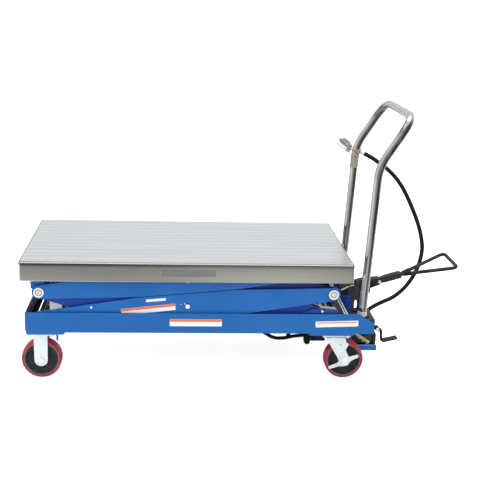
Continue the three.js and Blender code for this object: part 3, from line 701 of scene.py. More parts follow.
SILVER_LABEL = printed("silver_label", (0.165, 0.166, 0.150, 1), 0.5)
SHAFT = ground_shaft("ground_shaft")
TAPE = cloth_tape("cloth_tape")

# ---------------------------------------------------------------- platform


def rounded_ring(solid, half_x, half_y, radius, z, steps=7):
    outline = rectangle(-half_x, half_x, -half_y, half_y, radius, steps)
    return [solid.verts.new((x, y, z)) for x, y in outline]


def deck():
    """Sheet top folded down all round, with a small return along its bottom edge."""
    half_x, half_y = DECK_HIGH.x, DECK_HIGH.y
    top, bottom = DECK_HIGH.z, DECK_LOW.z
    sheet, bend, foot_bend, hem, corner = 2.5, 8.0, 4.0, 12.0, 9.0
    inner_bend, inner_foot = bend - sheet, foot_bend - sheet

    def top_fold(radius, a):
        return bend - radius * math.sin(a), top - bend + radius * math.cos(a)

    def foot_fold(radius, a):
        return foot_bend - radius * math.cos(a), bottom + foot_bend - radius * math.sin(a)

    outside = [top_fold(bend, a) for a in quarter(9)] + [foot_fold(foot_bend, a) for a in quarter(4)]
    inside = [foot_fold(inner_foot, a) for a in quarter(3)[::-1]]
    inside += [top_fold(inner_bend, a) for a in quarter(4)[::-1]]
    section = outside + [(hem, bottom), (hem, bottom + sheet)] + inside
    solid = bmesh.new()
    rings = [
        rounded_ring(solid, half_x - inset, half_y - inset, max(corner - inset, 0.8), z)
        for inset, z in section
    ]
    for first, second in zip(rings, rings[1:]):
        skin(solid, first, second)
    solid.faces.new(rings[0])
    solid.faces.new(rings[-1])
    bmesh.ops.recalc_face_normals(solid, faces=solid.faces[:])
    return solid


def platform():
    piece("deck_sheet", "platform", [(SHEET, deck())], ["platform_deck"], smooth=40)
    front = DECK_LOW.y
    plate = slab(rectangle(-96, 100, 424, 450, 2), front - 0.6, front + 0.4, 0.2)
    piece("deck_name_plate_blank", "platform", [(SILVER_LABEL, plate)])

    under = DECK_HIGH.z - 2.8
    half_length, depth, sheet = 598, 32, 5
    track_left, track_right = -592, -345
    track_top, track_bottom = TABLE_Z + 22.4, TABLE_Z - 22.6
    parts = []
    for _, side in SIDES:
        web, lip = side * 270, side * 292
        parts.append(cuboid(-half_length, half_length, web, web + side * sheet, under - depth, under, 1.2))
        for top in (under, under - depth + sheet):
            parts.append(cuboid(-half_length, half_length, web, lip, top - sheet, top, 1.2))
        for inner, low, high in (
            (252, track_top, under),
            (252, track_bottom - 4, track_bottom),
            (270, track_bottom - 4, under),
        ):
            parts.append(cuboid(track_left, track_right, side * inner, side * 274, low, high, 0.8))
        lug = arc(PIVOT_X, TABLE_Z, 24, 180, 360) + [(PIVOT_X + 28, under), (PIVOT_X - 28, under)]
        parts.append(slab(lug, side * 264.5, side * 270, 0.8, [ring(PIVOT_X, TABLE_Z, 12.6)]))
    for x, drop in ((-half_length, depth), (-3, 20), (half_length - 6, depth)):
        parts.append(cuboid(x, x + 6, -271, 271, under - drop, under, 1.2))
    for x in (-300, 300):
        parts.append(cuboid(x - 20, x + 20, -271, 271, under - 6, under, 1.0))
    # the frame under the deck is in the darker copy of the blue: painted shade under the deck
    piece("deck_support_frame", "platform", [(DEEP_BLUE_SHADE, merged(*parts))], ["platform_frame"])


# ---------------------------------------------------------------- scissor legs


def on_stage(solid, crossing, rises):
    """From the frame of a leg, drawn around its middle, to its place on the cart."""
    turn = Matrix.Rotation(-rises * LOWERED, 4, "Y")
    return moved(solid, Matrix.Translation((0, 0, crossing)) @ turn)


def leg_plate(side, plane, hole_left, hole_right, wide=180.0):
    """A leg with round ends and a parallel middle; wide is how far its longer parallel edges reach."""
    half, end, middle, taper, bend = HALF_LEG, 25.6, 49.25, 180.0, 260
    left = [(x, z, 0) for x, z in arc(-half, 0, end, 90, 270, 20)]
    right = [(x, z, 0) for x, z in arc(half, 0, end, -90, 90, 20)]
    below = [(-wide, -middle, bend), (taper, -middle, bend)]
    above = [(wide, middle, bend), (-taper, middle, bend)]
    holes = [ring(-half, 0, hole_left), ring(0, 0, 9.6), ring(half, 0, hole_right)]
    outline = rounded([*left, *below, *right, *above], 6)
    return slab(outline, side * plane, side * (plane + LEG_THICK), 1.2, holes)


def tie_tube(x, radius, reach):
    """A cross tube with a weld bead where it meets each leg."""
    parts = [disc(radius, -reach, reach, 0.5, at=(x, 0, 0), sides=36)]
    for _, side in SIDES:
        bead = rounded([(radius - 1, 0, 0), (radius + 4.5, 0, 1), (radius - 1, -side * 5, 0)], 3)
        parts.append(lathe(bead, at=(x, side * (reach - 0.6), 0), sides=36))
    return merged(*parts)


def inner_legs(hole_left, hole_right, tubes, wide=180.0):
    parts = [leg_plate(side, INNER_LEG, hole_left, hole_right, wide) for _, side in SIDES]
    parts += [tie_tube(x, 20, 242.5) for x in tubes]
    return parts


def ram_head_lugs():
    """Two plates on the lower cross tube that take the pin of the ram's rod."""
    turn = Matrix.Rotation(-LOWERED, 4, "Y")
    head = turn @ Vector((RAM_HEAD.x, 0, RAM_HEAD.z - LOWER_CROSSING))
    lugs = []
    for _, side in SIDES:
        outline = [(head.x - 20, 0)] + arc(head.x, head.z, 20, 180, 360, 16) + [(head.x + 20, 0)]
        lugs.append(slab(outline, side * 20, side * 28, 1.0, [ring(head.x, head.z, 12.5)]))
    return lugs, head.x


def mid_pin(side):
    """Wide bright flange with a turned groove that holds a charcoal ring as painted shade, and a duller bolt
    sunk in its middle.
    """
    inner, outer = PIN_INNER, PIN_OUTER
    flange = rounded([
        (0, inner - 5, 0), (16, inner - 5, 1), (16, inner, 0.5), (11, inner, 0), (11, outer, 0),
        (19, outer, 0.5), (19, outer + 5, 1.6), (13.2, outer + 5.2, 0.6), (12.4, outer + 2.4, 0.6),
        (0, outer + 2.4, 0),
    ], 3)
    # the charcoal ring in the groove is painted shade
    groove = [(0, outer + 2.2), (12.6, outer + 2.2), (12.6, outer + 2.9), (0, outer + 2.9)]
    button = rounded([
        (0, outer + 2.6, 0), (11, outer + 2.6, 0.4), (10.4, outer + 4.8, 0.8), (4.6, outer + 5.4, 1),
        (3.8, outer + 3.8, 0.4), (0, outer + 3.8, 0),
    ], 3)
    solids = [turned(profile, side, sides=56) for profile in (flange, groove, button)]
    return list(zip((PIN_STEEL, CHARCOAL, PIN_FACE), solids))


def centre_pin(side):
    """A bright round head on a washer in the darker blue, which is painted shade round the head."""
    inner, outer = PIN_INNER, PIN_OUTER
    head = rounded([
        (0, inner - 4, 0), (13, inner - 4, 1), (13, inner, 0.5), (9, inner, 0), (9, outer + 2.2, 0),
        (8.2, outer + 2.4, 0.4), (7.8, outer + 5.2, 1.6), (0, outer + 5.8, 0),
    ], 3)
    washer = rounded([(8.8, outer, 0), (11.8, outer, 0.4), (11.4, outer + 2, 0.8), (8.8, outer + 2, 0)], 3)
    solids = [turned(profile, side, sides=40) for profile in (head, washer)]
    return list(zip((PIN_STEEL, DEEP_BLUE_SHADE), solids))


def leg_screw(x, z, radius):
    """A small button screw on the outer face of a near leg."""
    dome = [(0, 0), (radius, 0), (radius, -0.8)] + [
        (radius * math.cos(a), -0.8 - radius * 0.55 * math.sin(a)) for a in quarter(5)
    ]
    return lathe(dome, at=(x, -LEG_FACE, z), sides=20)


def sticker(x0, x1, z0, z1, tilt, plane, band, band_offset=0.0):
    """A blank white label with a plain orange band; the band is a share of its height."""
    height = z1 - z0
    middle = ((x0 + x1) / 2, (z0 + z1) / 2)
    turn = Matrix.Translation((middle[0], 0, middle[1])) @ Matrix.Rotation(-tilt, 4, "Y")
    half_x, half_z = (x1 - x0) / 2, height / 2
    body = slab(rectangle(-half_x, half_x, -half_z, half_z, 1.5), plane - 0.5, plane + 0.3, 0.15)
    parts = [(WHITE_LABEL, moved(body, turn))]
    if band:
        top = half_z - height * band_offset
        inset = half_x - (0.6 if band_offset == 0 else 5)
        field = rectangle(-inset, inset, top - height * band, top - 0.4, 0.5)
        parts.append((ORANGE_LABEL, moved(slab(field, plane - 0.9, plane + 0.2, 0.1), turn)))
    return parts


def scissors():
    lugs, head_x = ram_head_lugs()
    lower = merged(*inner_legs(11.8, 12.8, [head_x, 430], 440.0), *lugs)
    # reinforcing ears above the pins that join the two left pairs of legs
    ear = rounded([(-576, 352, 10), (-576, 386, 5), (-540, 396, 3), (-522, 372, 4), (-522, 352, 4)], 4)
    ears = merged(*[slab(ear, side * 242.4, side * 249.6, 1.0) for _, side in SIDES])
    parts = [(SHADED_BLUE, on_stage(lower, LOWER_CROSSING, -1)), (BLUE, ears)]
    piece("inner_legs_lower", "lower_inner", parts, ["lower_inner_frame"])
    upper = merged(*inner_legs(10.8, 11.8, [-200, 380]))
    # the upper inner legs are in the darker navy copy of the blue: painted shade
    parts = [(SHADE_NAVY, on_stage(upper, UPPER_CROSSING, -1))]
    piece("inner_legs_upper", "upper_inner", parts, ["upper_inner_frame"])
    for tag, side in SIDES:
        low = [(BLUE, on_stage(leg_plate(side, OUTER_LEG, 10.8, 11.8), LOWER_CROSSING, 1))]
        high = [(BLUE, on_stage(leg_plate(side, OUTER_LEG, 11.8, 12.8), UPPER_CROSSING, 1))]
        if side < 0:
            low.append((PIN_STEEL, leg_screw(-355, 288, 4.4)))
            low.append((ZINC, merged(leg_screw(-11, 304, 2.4), leg_screw(-25, 303, 1.8))))
        piece("outer_leg_lower_" + tag, "lower_outer", low, ["lower_outer_leg_" + tag])
        piece("outer_leg_upper_" + tag, "upper_outer", high, ["upper_outer_leg_" + tag])
        for name, body, node, x, crossing, rises, make in (
            ("pivot_pin_left_", "lower_inner", "left_mid_pin_", -HALF_LEG, LOWER_CROSSING, -1, mid_pin),
            ("pivot_pin_right_", "lower_outer", "right_mid_pin_", HALF_LEG, LOWER_CROSSING, 1, mid_pin),
            ("crossing_pin_lower_", "lower_inner", "lower_centre_pin_", 0, LOWER_CROSSING, -1, centre_pin),
            ("crossing_pin_upper_", "upper_outer", "upper_centre_pin_", 0, UPPER_CROSSING, 1, centre_pin),
        ):
            parts = [
                (look, on_stage(shifted(solid, x, 0, 0), crossing, rises)) for look, solid in make(side)
            ]
            piece(name + tag, body, parts, [node + tag])
    small = sticker(-154, -81, 313.5, 323.5, LOWERED, -LEG_FACE, 0)
    warning = sticker(-246, -45, 269, 294, LOWERED + 0.022, -LEG_FACE, 0.40)
    piece("leg_label_small_blank", "lower_outer", small)
    piece("leg_label_blank", "lower_outer", warning)


def shaft(radius, reach, x, z):
    """A cross shaft with a groove and a retaining ring near each end."""
    parts = [disc(radius, -reach, reach, 1.5, at=(x, 0, z), sides=32)]
    for _, side in SIDES:
        clip = side * (reach - 3)
        parts.append(disc(
            radius + 2.5, clip - 0.7, clip + 0.7, 0.3, inner=radius - 0.5, at=(x, 0, z), sides=32,
        ))
    return merged(*parts)


def roller(side, inner, x, z):
    """A crowned track roller with a recessed face."""
    profile = rounded([
        (10.8, 0, 0.5), (14, 0, 0.5), (15, 2, 0.5), (18.5, 2, 0.5), (19, 0, 0.5), (21.2, 0, 1.2), (22, 8, 0),
        (21.2, 16, 1.2), (19, 16, 0.5), (18.5, 14, 0.5), (15, 14, 0.5), (14, 16, 0.5), (10.8, 16, 0.5),
    ], 2)
    return turned([(radius, inner + depth) for radius, depth in profile], side, at=(x, 0, z))


def shafts_and_rollers():
    for node, body, radius, reach in (
        ("base_pivot_shaft", "root", 12, 265),
        ("table_pivot_shaft", "upper_outer", 12, 268.5),
        ("base_roller_shaft", "lower_outer", 10, 265),
        ("table_roller_shaft", "upper_inner", 10, 268.5),
    ):
        middle = centre(node)
        name = node.replace("shaft", "axle")
        piece(name, body, [(SHAFT, shaft(radius, reach, middle.x, middle.z))], [node])
    for tag, side in SIDES:
        for row, body, inner in (("base", "base_rollers", 236), ("table", "table_rollers", 252)):
            node = row + "_roller_" + tag
            middle = centre(node)
            solid = roller(side, inner, middle.x, middle.z)
            piece(row + "_track_roller_" + tag, body, [(CHARCOAL, solid)], [node])


# ---------------------------------------------------------------- base frame


def rail(side):
    """A folded side rail with a bevelled nose and a bottom flange, and the lug that carries the legs."""
    nose_start, nose_drop = 648, 38
    web = rounded([
        (RAIL_LEFT, RAIL_BOTTOM, 12),
        (RAIL_RIGHT, RAIL_BOTTOM, 3),
        (RAIL_RIGHT, RAIL_TOP - nose_drop, 10),
        (nose_start, RAIL_TOP, 24),
        (RAIL_LEFT, RAIL_TOP, 2),
    ], 6)
    outer, inner = side * RAIL_OUTER, side * (RAIL_OUTER - 4)
    flange = (side * (RAIL_OUTER - 42), side * (RAIL_OUTER - 1.5))
    parts = [
        slab(web, min(outer, inner), max(outer, inner), 1.3),
        cuboid(RAIL_LEFT + 12, RAIL_RIGHT - 1, *flange, RAIL_BOTTOM, RAIL_BOTTOM + 4, 1.2),
        cuboid(RAIL_LEFT + 1, -340, side * 232, side * 252, RAIL_BOTTOM + 1, BASE_Z - 22.4, 1.0),
    ]
    lug = rounded([
        (416, RAIL_BOTTOM + 2, 0), (PIVOT_X + 26, RAIL_BOTTOM + 2, 0), (PIVOT_X + 26, 262, 6), (560, 284, 6),
        (468, 286, 10), (416, 262, 6),
    ], 4)
    return parts, slab(lug, side * OUTER_LEG, side * LEG_FACE, 1.0, [ring(PIVOT_X, BASE_Z, 12.8)])


def caster_pad(side, left, right):
    """A packing plate welded under the rail, with its weld beads."""
    low = RAIL_BOTTOM - 9
    outline = rectangle(left, right, min(side * 178, side * 271), max(side * 178, side * 271), 10)
    parts = [flat(outline, low, RAIL_BOTTOM + 1, 1.2)]
    bead_y = side * (RAIL_OUTER - 1.5)
    for x in range(int(left) + 16, int(right) - 30, 34):
        parts.append(tube([(x, bead_y, RAIL_BOTTOM - 0.5), (x + 20, bead_y, RAIL_BOTTOM - 0.5)], 2.2, 8))
    return parts


def clevis(side):
    """One of the two plates that carry the ram's foot pin."""
    x, z = RAM_FOOT.x, RAM_FOOT.z
    top = RAIL_BOTTOM + 2
    outline = [(x + 4, top)] + arc(x, z, 22, 150, 360, 18) + [(x + 30, top)]
    return slab(outline, side * 14, side * 22, 1.0, [ring(x, z, 12.6)])


def base():
    parts, lugs = [], []
    for _, side in SIDES:
        lengths, lug = rail(side)
        parts += lengths
        lugs.append(lug)
        parts += caster_pad(side, -596, -455)
        parts += caster_pad(side, 462, 628)
        parts.append(clevis(side))
    reach = RAIL_OUTER - 3
    parts.append(cuboid(RAIL_LEFT, RAIL_LEFT + 2, -reach, reach, RAIL_BOTTOM + 8, RAIL_TOP, 0.8))
    parts.append(cuboid(600, 602, -reach, reach, RAIL_BOTTOM + 1, RAIL_TOP, 0.8))
    # the inner cross members are drawn in the near-black blue: painted shade inside the frame
    inside = [
        cuboid(x0, x1, -reach, reach, z0, z1, 0.8)
        for x0, x1, z0, z1 in (
            (RAIL_LEFT + 2, RAIL_LEFT + 4, RAIL_BOTTOM + 8, RAIL_TOP),
            (RAIL_LEFT + 2, RAIL_LEFT + 20, RAIL_BOTTOM + 8, RAIL_BOTTOM + 12),
            (598, 600, RAIL_BOTTOM + 1, RAIL_TOP),
            (588.5, 593.5, RAIL_BOTTOM + 1, RAIL_TOP - 0.5),
            (578, 600, RAIL_BOTTOM + 1, RAIL_BOTTOM + 5),
            (490, 534, RAIL_BOTTOM + 16, RAIL_BOTTOM + 20),
            (490, 494, RAIL_BOTTOM, RAIL_BOTTOM + 20),
            (530, 534, RAIL_BOTTOM, RAIL_BOTTOM + 20),
        )
    ]
    parts.append(cuboid(492, 532, -26, 26, RAIL_BOTTOM, RAIL_BOTTOM + 18, 1.0))
    tab = rounded([
        (-484, RAIL_BOTTOM + 2, 0), (-484, 160, 3), (-477, 158, 3), (-477, RAIL_BOTTOM + 2, 0),
    ], 3)
    parts.append(slab(tab, -270, -262, 0.8))
    # the rails are drawn in the slightly darker copy of the blue: painted shade
    parts = [(RAIL_BLUE_SHADED, merged(*parts)), (SHADED_BLUE, merged(*lugs)), (INSIDE_SHADE, merged(*inside))]
    piece("base_rails", "root", parts, ["base_frame"])

    # the bright bars along the top edges of the cross angles are painted highlights; the dome is a screw
    bright = [
        cuboid(RAIL_LEFT + 0.2, RAIL_LEFT + 3.8, -266, 266, RAIL_TOP - 0.6, RAIL_TOP + 0.8, 0.3),
        cuboid(597.6, 602.4, -266, 266, RAIL_TOP - 1.5, RAIL_TOP + 1.2, 0.4),
        cuboid(588.6, 593.4, -266, 266, RAIL_TOP - 1.5, RAIL_TOP + 1.2, 0.4),
        shifted(leg_screw(0, 0, 4.5), 505, 0, 278),
    ]
    piece("cross_angle_edge_highlights", "root", [(PIN_STEEL, merged(*bright))])
    piece("rail_label_blank", "root", sticker(-66, 128, 220, 248, 0.0, -RAIL_OUTER, 0.36))
    piece("rail_label_end_blank", "root", sticker(481, 643, 220.5, 243.5, 0.03, -RAIL_OUTER, 0.22, 0.14))


# ---------------------------------------------------------------- casters


def hub(y):
    """A solid cast wheel centre, alike on both sides: raised rim, stepped dished web and a long boss."""
    # one half of the section, without the two ends that lie on the middle plane
    half = rounded([
        (8.8, 0, 0), (8.8, 27, 0.5), (19, 27, 1.5), (21, 16, 2), (24, 11.5, 2), (38, 10, 1), (40, 12, 1),
        (52, 13, 1), (54.5, 20.5, 1.5), (63, 21.5, 0.6), (63, 0, 0),
    ], 3)[1:-1]
    section = half + [(radius, -depth) for radius, depth in reversed(half)]
    return lathe(section, at=(0, y, 0), sides=72)


def rim_band(y):
    section = rounded([(62.2, -22.6, 0.8), (65, -22.6, 0.6), (65, 22.6, 0.6), (62.2, 22.6, 0.8)], 2)
    return lathe(section, at=(0, y, 0), sides=72)


def tread(y):
    """Moulded tyre with rounded shoulders and a shallow crown."""
    section = rounded([
        (65, -23.4, 0.8), (70.6, -25, 1.6), (74.3, -19.5, 6), (75, 0, 0), (74.3, 19.5, 6), (70.6, 25, 1.6),
        (65, 23.4, 0.8),
    ], 5)
    return lathe(section, at=(0, y, 0), sides=96)


def wheel(name, x, y):
    body = "wheel_" + name
    place = Matrix.Translation((x, 0, WHEEL_RADIUS))
    centre_parts = [(HUB_BLACK, moved(hub(y), place)), (RIM_GREY, moved(rim_band(y), place))]
    tyre = [(CRIMSON, moved(tread(y), place))]
    piece("wheel_centre_" + name, body, centre_parts, ["hub_" + name])
    piece("wheel_tyre_" + name, body, tyre, ["tread_" + name])


def plate_bolts(x, y, half_x, half_y, top):
    """Four hexagon nuts under a caster's top plate."""
    places = [(x + i * half_x, y + j * half_y, top) for i in (-1, 1) for j in (-1, 1)]
    return [bolt(11, 5.5, place, (0, 0, -1)) for place in places]


def mounting_plate(x, y, half_x, half_y):
    """A caster top plate with a slotted hole near each corner."""
    slots = []
    for i in (-1, 1):
        for j in (-1, 1):
            a, b = x + i * (half_x - 12), y + j * (half_y - 11)
            slots.append(rectangle(a - 7, a + 7, b - 4.2, b + 4.2, 4))
    outline = rectangle(x - half_x, x + half_x, y - half_y, y + half_y, 9)
    return flat(outline, PLATE_BOTTOM, PLATE_TOP, 1.0, slots)


def axle_bolt(side, x, head):
    """A through bolt with a hexagon head outside and a nut with washer inside."""
    y = side * TRACK
    reach = 34.3
    out, back = (0, side, 0), (0, -side, 0)
    parts = [
        disc(8, -reach - 4, reach + head, 0.5, at=(x, y, WHEEL_RADIUS), along=out, sides=24),
        disc(11.5, 0, 1.8, 0.5, at=(x, y + side * (reach + head - 1.8), WHEEL_RADIUS), along=out, sides=32),
        hexagon(17, 0, 4.6, at=(x, y + side * (reach + head), WHEEL_RADIUS), along=out),
        disc(11, 0, 1.6, 0.5, at=(x, y - side * reach, WHEEL_RADIUS), along=back, sides=32),
        hexagon(16, 0, 5.2, at=(x, y - side * (reach + 1.6), WHEEL_RADIUS), along=back),
    ]
    return merged(*parts)


def cheeks(outline, side, holes, edge=1.4):
    y = side * TRACK
    starts = (y - CHEEK_INSIDE - CHEEK_THICK, y + CHEEK_INSIDE)
    return [slab(outline, start, start + CHEEK_THICK, edge, holes) for start in starts]


def rigid_caster(tag, side):
    y = side * TRACK
    top = PLATE_TOP - 1
    outline = [(RIGID_X - 26, top), *arc(RIGID_X, WHEEL_RADIUS, 24.5, 180, 360, 24), (RIGID_X + 26, top)]
    parts = [mounting_plate(RIGID_X, y, 52, 43)]
    parts += cheeks(outline, side, [ring(RIGID_X, WHEEL_RADIUS, 8.8)], 1.8)
    # folds between the top plate and the cheeks, and a pressed dimple above the axle
    flip = Matrix.Scale(-1, 4, UP)
    for a in (-1, 1):
        fold = arc(0, 0, 7, 0, 90, 5) + [(0, 0)]
        turn = Matrix.Rotation(a * math.pi / 2, 4, "Z")
        brace = moved(slab(fold, -25, 25, 0.3), turn @ flip)
        brace = shifted(brace, RIGID_X, y + a * CHEEK_INSIDE, PLATE_BOTTOM + 0.5)
        bmesh.ops.recalc_face_normals(brace, faces=brace.faces[:])
        parts.append(brace)
        dome = [(0, 2.4), (2.5, 2.2), (4.4, 1.2), (5.6, 0), (5.6, -1), (0, -1)]
        dimple = (RIGID_X, y + a * (CHEEK_INSIDE + CHEEK_THICK), WHEEL_RADIUS + 23)
        parts.append(lathe(dome, at=dimple, along=(0, a, 0), sides=24))
    parts += plate_bolts(RIGID_X, y, 40, 32, PLATE_BOTTOM)
    piece("rigid_caster_fork_" + tag, "root", [(ZINC, merged(*parts))], ["rigid_fork_" + tag])
    axle = axle_bolt(side, RIGID_X, 5)
    piece("rigid_caster_axle_" + tag, "root", [(PIN_STEEL, axle)], ["rigid_axle_" + tag])
    wheel("left_" + tag, RIGID_X, y)


def swivel_caster(tag, side):
    y = side * TRACK
    crown = 168
    hole_x, hole_z = SWIVEL_X + 17, 141
    parts = [mounting_plate(SWIVEL_X, y, 55, 43)]
    upper_race = rounded([
        (0, PLATE_BOTTOM + 1, 0), (31, PLATE_BOTTOM + 1, 0), (32, 173, 2.5), (27, 170.4, 1), (0, 170.4, 0),
    ], 4)
    parts.append(lathe(upper_race, at=(SWIVEL_X, y, 0), along=UP, sides=56))
    parts.append(disc(9, 157, PLATE_BOTTOM, 0.5, at=(SWIVEL_X, y, 0), along=UP, sides=24))
    parts.append(hexagon(24, 156, 161, at=(SWIVEL_X, y, 0), along=UP))
    parts += plate_bolts(SWIVEL_X, y, 43, 32, PLATE_BOTTOM)
    piece("swivel_top_plate_" + tag, "root", [(ZINC, merged(*parts))], ["swivel_plate_" + tag])

    outline = rounded([
        (SWIVEL_X - 39, crown + 1, 3),
        (TRAILING_X - 27, WHEEL_RADIUS + 14, 10),
        (TRAILING_X - 17.5, WHEEL_RADIUS - 8, 14),
        (TRAILING_X, WHEEL_RADIUS - 20, 14),
        (TRAILING_X + 17.5, WHEEL_RADIUS - 8, 14),
        (TRAILING_X + 13, WHEEL_RADIUS + 24, 4),
        (TRAILING_X + 3, WHEEL_RADIUS + 46, 4),
        (TRAILING_X + 14, WHEEL_RADIUS + 68, 3),
        (TRAILING_X + 3, WHEEL_RADIUS + 76, 4),
        (SWIVEL_X + 36, crown + 1, 3),
    ], 5)
    holes = [ring(TRAILING_X, WHEEL_RADIUS, 8.8), ring(hole_x, hole_z, 3.4, 14)]
    fork = cheeks(outline, side, holes, 1.6)
    bore = ring(SWIVEL_X, y, 9.8)
    crown_plate = rectangle(SWIVEL_X - 38, SWIVEL_X + 36, y - 33, y + 33, 12)
    fork.append(flat(crown_plate, crown - 6, crown + 1, 1.2, [bore]))
    lower_race = rounded([
        (11, crown - 1, 0), (34, crown - 1, 2), (35, crown + 2.2, 1.4), (11, crown + 2, 0),
    ], 3)
    fork.append(lathe(lower_race, at=(SWIVEL_X, y, 0), along=UP, sides=56))
    doubler = rounded([
        (SWIVEL_X - 34, crown - 3, 3), (TRAILING_X - 25, WHEEL_RADIUS + 22, 5),
        (TRAILING_X - 3, WHEEL_RADIUS + 22, 5), (SWIVEL_X + 8, crown - 3, 3),
    ], 4)
    face = y + side * (CHEEK_INSIDE + CHEEK_THICK - 0.6)
    fork.append(slab(doubler, min(face, face + side * 2), max(face, face + side * 2), 0.8))
    for a in (-1, 1):
        hub_face = (TRAILING_X, y + a * CHEEK_INSIDE, WHEEL_RADIUS)
        fork.append(disc(15, 0, 3, 1.0, inner=8.6, at=hub_face, along=(0, -a, 0), sides=32))
    # a charcoal disc just inside the cheek behind its small hole: painted shade seen through the hole
    hole_shade = disc(6, side * 27.4, side * 29.4, 0.3, at=(hole_x, y, hole_z), sides=18)
    body = "swivel_" + tag
    parts = [(ZINC, merged(*fork)), (CHARCOAL, hole_shade)]
    piece("swivel_caster_fork_" + tag, body, parts, ["swivel_fork_" + tag])
    axle = axle_bolt(side, TRAILING_X, 9)
    piece("swivel_caster_axle_" + tag, body, [(PIN_STEEL, axle)], ["swivel_axle_" + tag])
    wheel("right_" + tag, TRAILING_X, y)
    brake(tag, side)


def brake(tag, side):
    """A pressed brake lever with two rounded wings, a raised rib and a small stop tab."""
    tilt = 0.41
    outline = rounded([
        (-66, -6, 5.5), (-26, -9.5, 8), (-15, -15, 6), (-2, -19, 3), (9, -19, 3), (15, -12, 5),
        (27, -6.5, 8), (57, -5.5, 5), (57, 5.5, 5), (27, 9, 8), (14, 15, 7), (-14, 15, 7),
        (-26, 4.5, 8), (-66, 4.5, 5),
    ], 5)
    start = 34.6
    lever = slab(outline, side * start, side * (start + 5), 1.6, [ring(0, 0, 8.8)])
    raised = (side * (start + 4), side * (start + 6.4), 1.0)
    rib = slab(rounded([(-58, -2.4, 2), (-24, -3, 2), (-24, 1.6, 2), (-58, 1.2, 2)], 3), *raised)
    right_rib = slab(rectangle(24, 50, -2, 3, 2), *raised)
    boss = disc(14, side * (start + 4), side * (start + 7.4), 1.2, inner=8.8, sides=36)
    place = Matrix.Translation((TRAILING_X, side * TRACK, WHEEL_RADIUS)) @ Matrix.Rotation(-tilt, 4, "Y")
    solid = moved(merged(lever, rib, right_rib, boss), place)
    piece("brake_wing_" + tag, "brake_" + tag, [(ZINC, solid)], ["brake_lever_" + tag])


# ---------------------------------------------------------------- hydraulic ram


def ram():
    """Barrel with a screwed gland, a port and a lug; rod with an eye; and the two cross pins."""
    run = Vector((RAM_HEAD.x - RAM_FOOT.x, 0, RAM_HEAD.z - RAM_FOOT.z))
    length = run.length
    along = run.normalized()
    foot = Vector((RAM_FOOT.x, 0, RAM_FOOT.z))

    def on_axis(profile, sides=48):
        return lathe(rounded(profile, 3), at=foot, along=along, sides=sides)

    mouth = length - 110
    barrel_radius, bore, rod_radius = 33, 17.8, 17
    barrel = on_axis([
        (0, 44, 0), (28, 44, 1), (barrel_radius, 50, 2),
        (barrel_radius, mouth - 34, 0.5), (31, mouth - 32, 0.5),
        (31, mouth - 29, 0.5), (barrel_radius, mouth - 27, 0.5),
        (barrel_radius, mouth - 3, 2), (26, mouth, 1), (bore, mouth, 0.4),
        (bore, mouth - 60, 0), (0, mouth - 60, 0),
    ])
    slope = math.atan2(run.z, -run.x)
    local = Matrix.Translation(foot) @ Matrix.Rotation(slope, 4, "Y")
    outline = [(-50, -18), (-4, -18)] + arc(0, 0, 20, -70, 70, 10) + [(-4, 18), (-50, 18)]
    neck = slab(outline, -12, 12, 1.2, [ring(0, 0, 12.8)])
    port = merged(
        disc(9, 0, 12, 1.0, at=(-74, 0, -31), along=(0, 0, -1), sides=28),
        hexagon(15, 12, 22, at=(-74, 0, -31), along=(0, 0, -1)),
    )
    shell = merged(barrel, moved(merged(neck, port), local))
    piece("ram_cylinder", "ram_barrel", [(BLACK, shell)], ["ram_barrel"])

    rod = on_axis([
        (0, mouth - 50, 0), (rod_radius, mouth - 50, 1), (rod_radius, length - 26, 2),
        (13, length - 20, 1), (0, length - 20, 0),
    ])
    eye_ring = lathe(
        rounded([(15.6, -15, 1), (23, -15, 1.5), (23, 15, 1.5), (15.6, 15, 1)], 3),
        at=foot + along * length, along=(0, 1, 0), sides=40,
    )
    piece("ram_piston_rod", "ram_rod", [(CHROME, rod), (CHARCOAL, eye_ring)], ["ram_rod"])
    for node, body, reach in (("ram_base_pin", "root", 26), ("ram_rod_pin", "lower_inner", 31)):
        middle = centre(node)
        place = (middle.x, 0, middle.z)
        parts = [disc(12, -reach, reach, 1.5, at=place, sides=32)]
        for _, side in SIDES:
            clip = side * (reach - 2)
            parts.append(disc(14.5, clip - 0.7, clip + 0.7, 0.3, inner=11, at=place, sides=32))
        piece(node + "_ringed", body, [(PIN_STEEL, merged(*parts))], [node])


# ---------------------------------------------------------------- foot pump


def pump_tray():
    """Blue bracket that hangs the pump from the last cross member."""
    lower = rounded([
        (652, 151, 0), (652, 87, 4), (755, 87, 3), (755, 64, 2), (640, 64, 6), (640, 151, 0),
    ], 4)
    upper = rounded([
        (602.6, 292, 3), (636, 292, 6), (638, 240, 10), (652, 150, 10), (640, 150, 0), (640, 168, 10),
        (602.6, 194, 3),
    ], 4)
    tray = [cuboid(640, 755, -124, 64, 64, 69, 1.2)]
    hanger = [cuboid(602.6, 607, -124, 64, 200, 262, 1.0)]
    for near, far in ((-125, -120), (60, 65)):
        tray.append(slab(lower, near, far, 1.2))
        hanger.append(slab(upper, near, far, 1.2))
    for x, z in ((621, 268), (621, 218)):
        hanger.append(bolt(12, 6, (x, -125, z), (0, -1, 0)))
    # a thin strip in paler blue along the tray's top edge: a painted highlight
    lip = cuboid(652, 754.6, -125.6, -119.4, 84.8, 87.4, 0.8)
    parts = [(BLUE, merged(*tray)), (SHADED_BLUE, merged(*hanger)), (LIP_HIGHLIGHT_BLUE, lip)]
    piece("pump_tray", "root", parts, ["pump_bracket"])


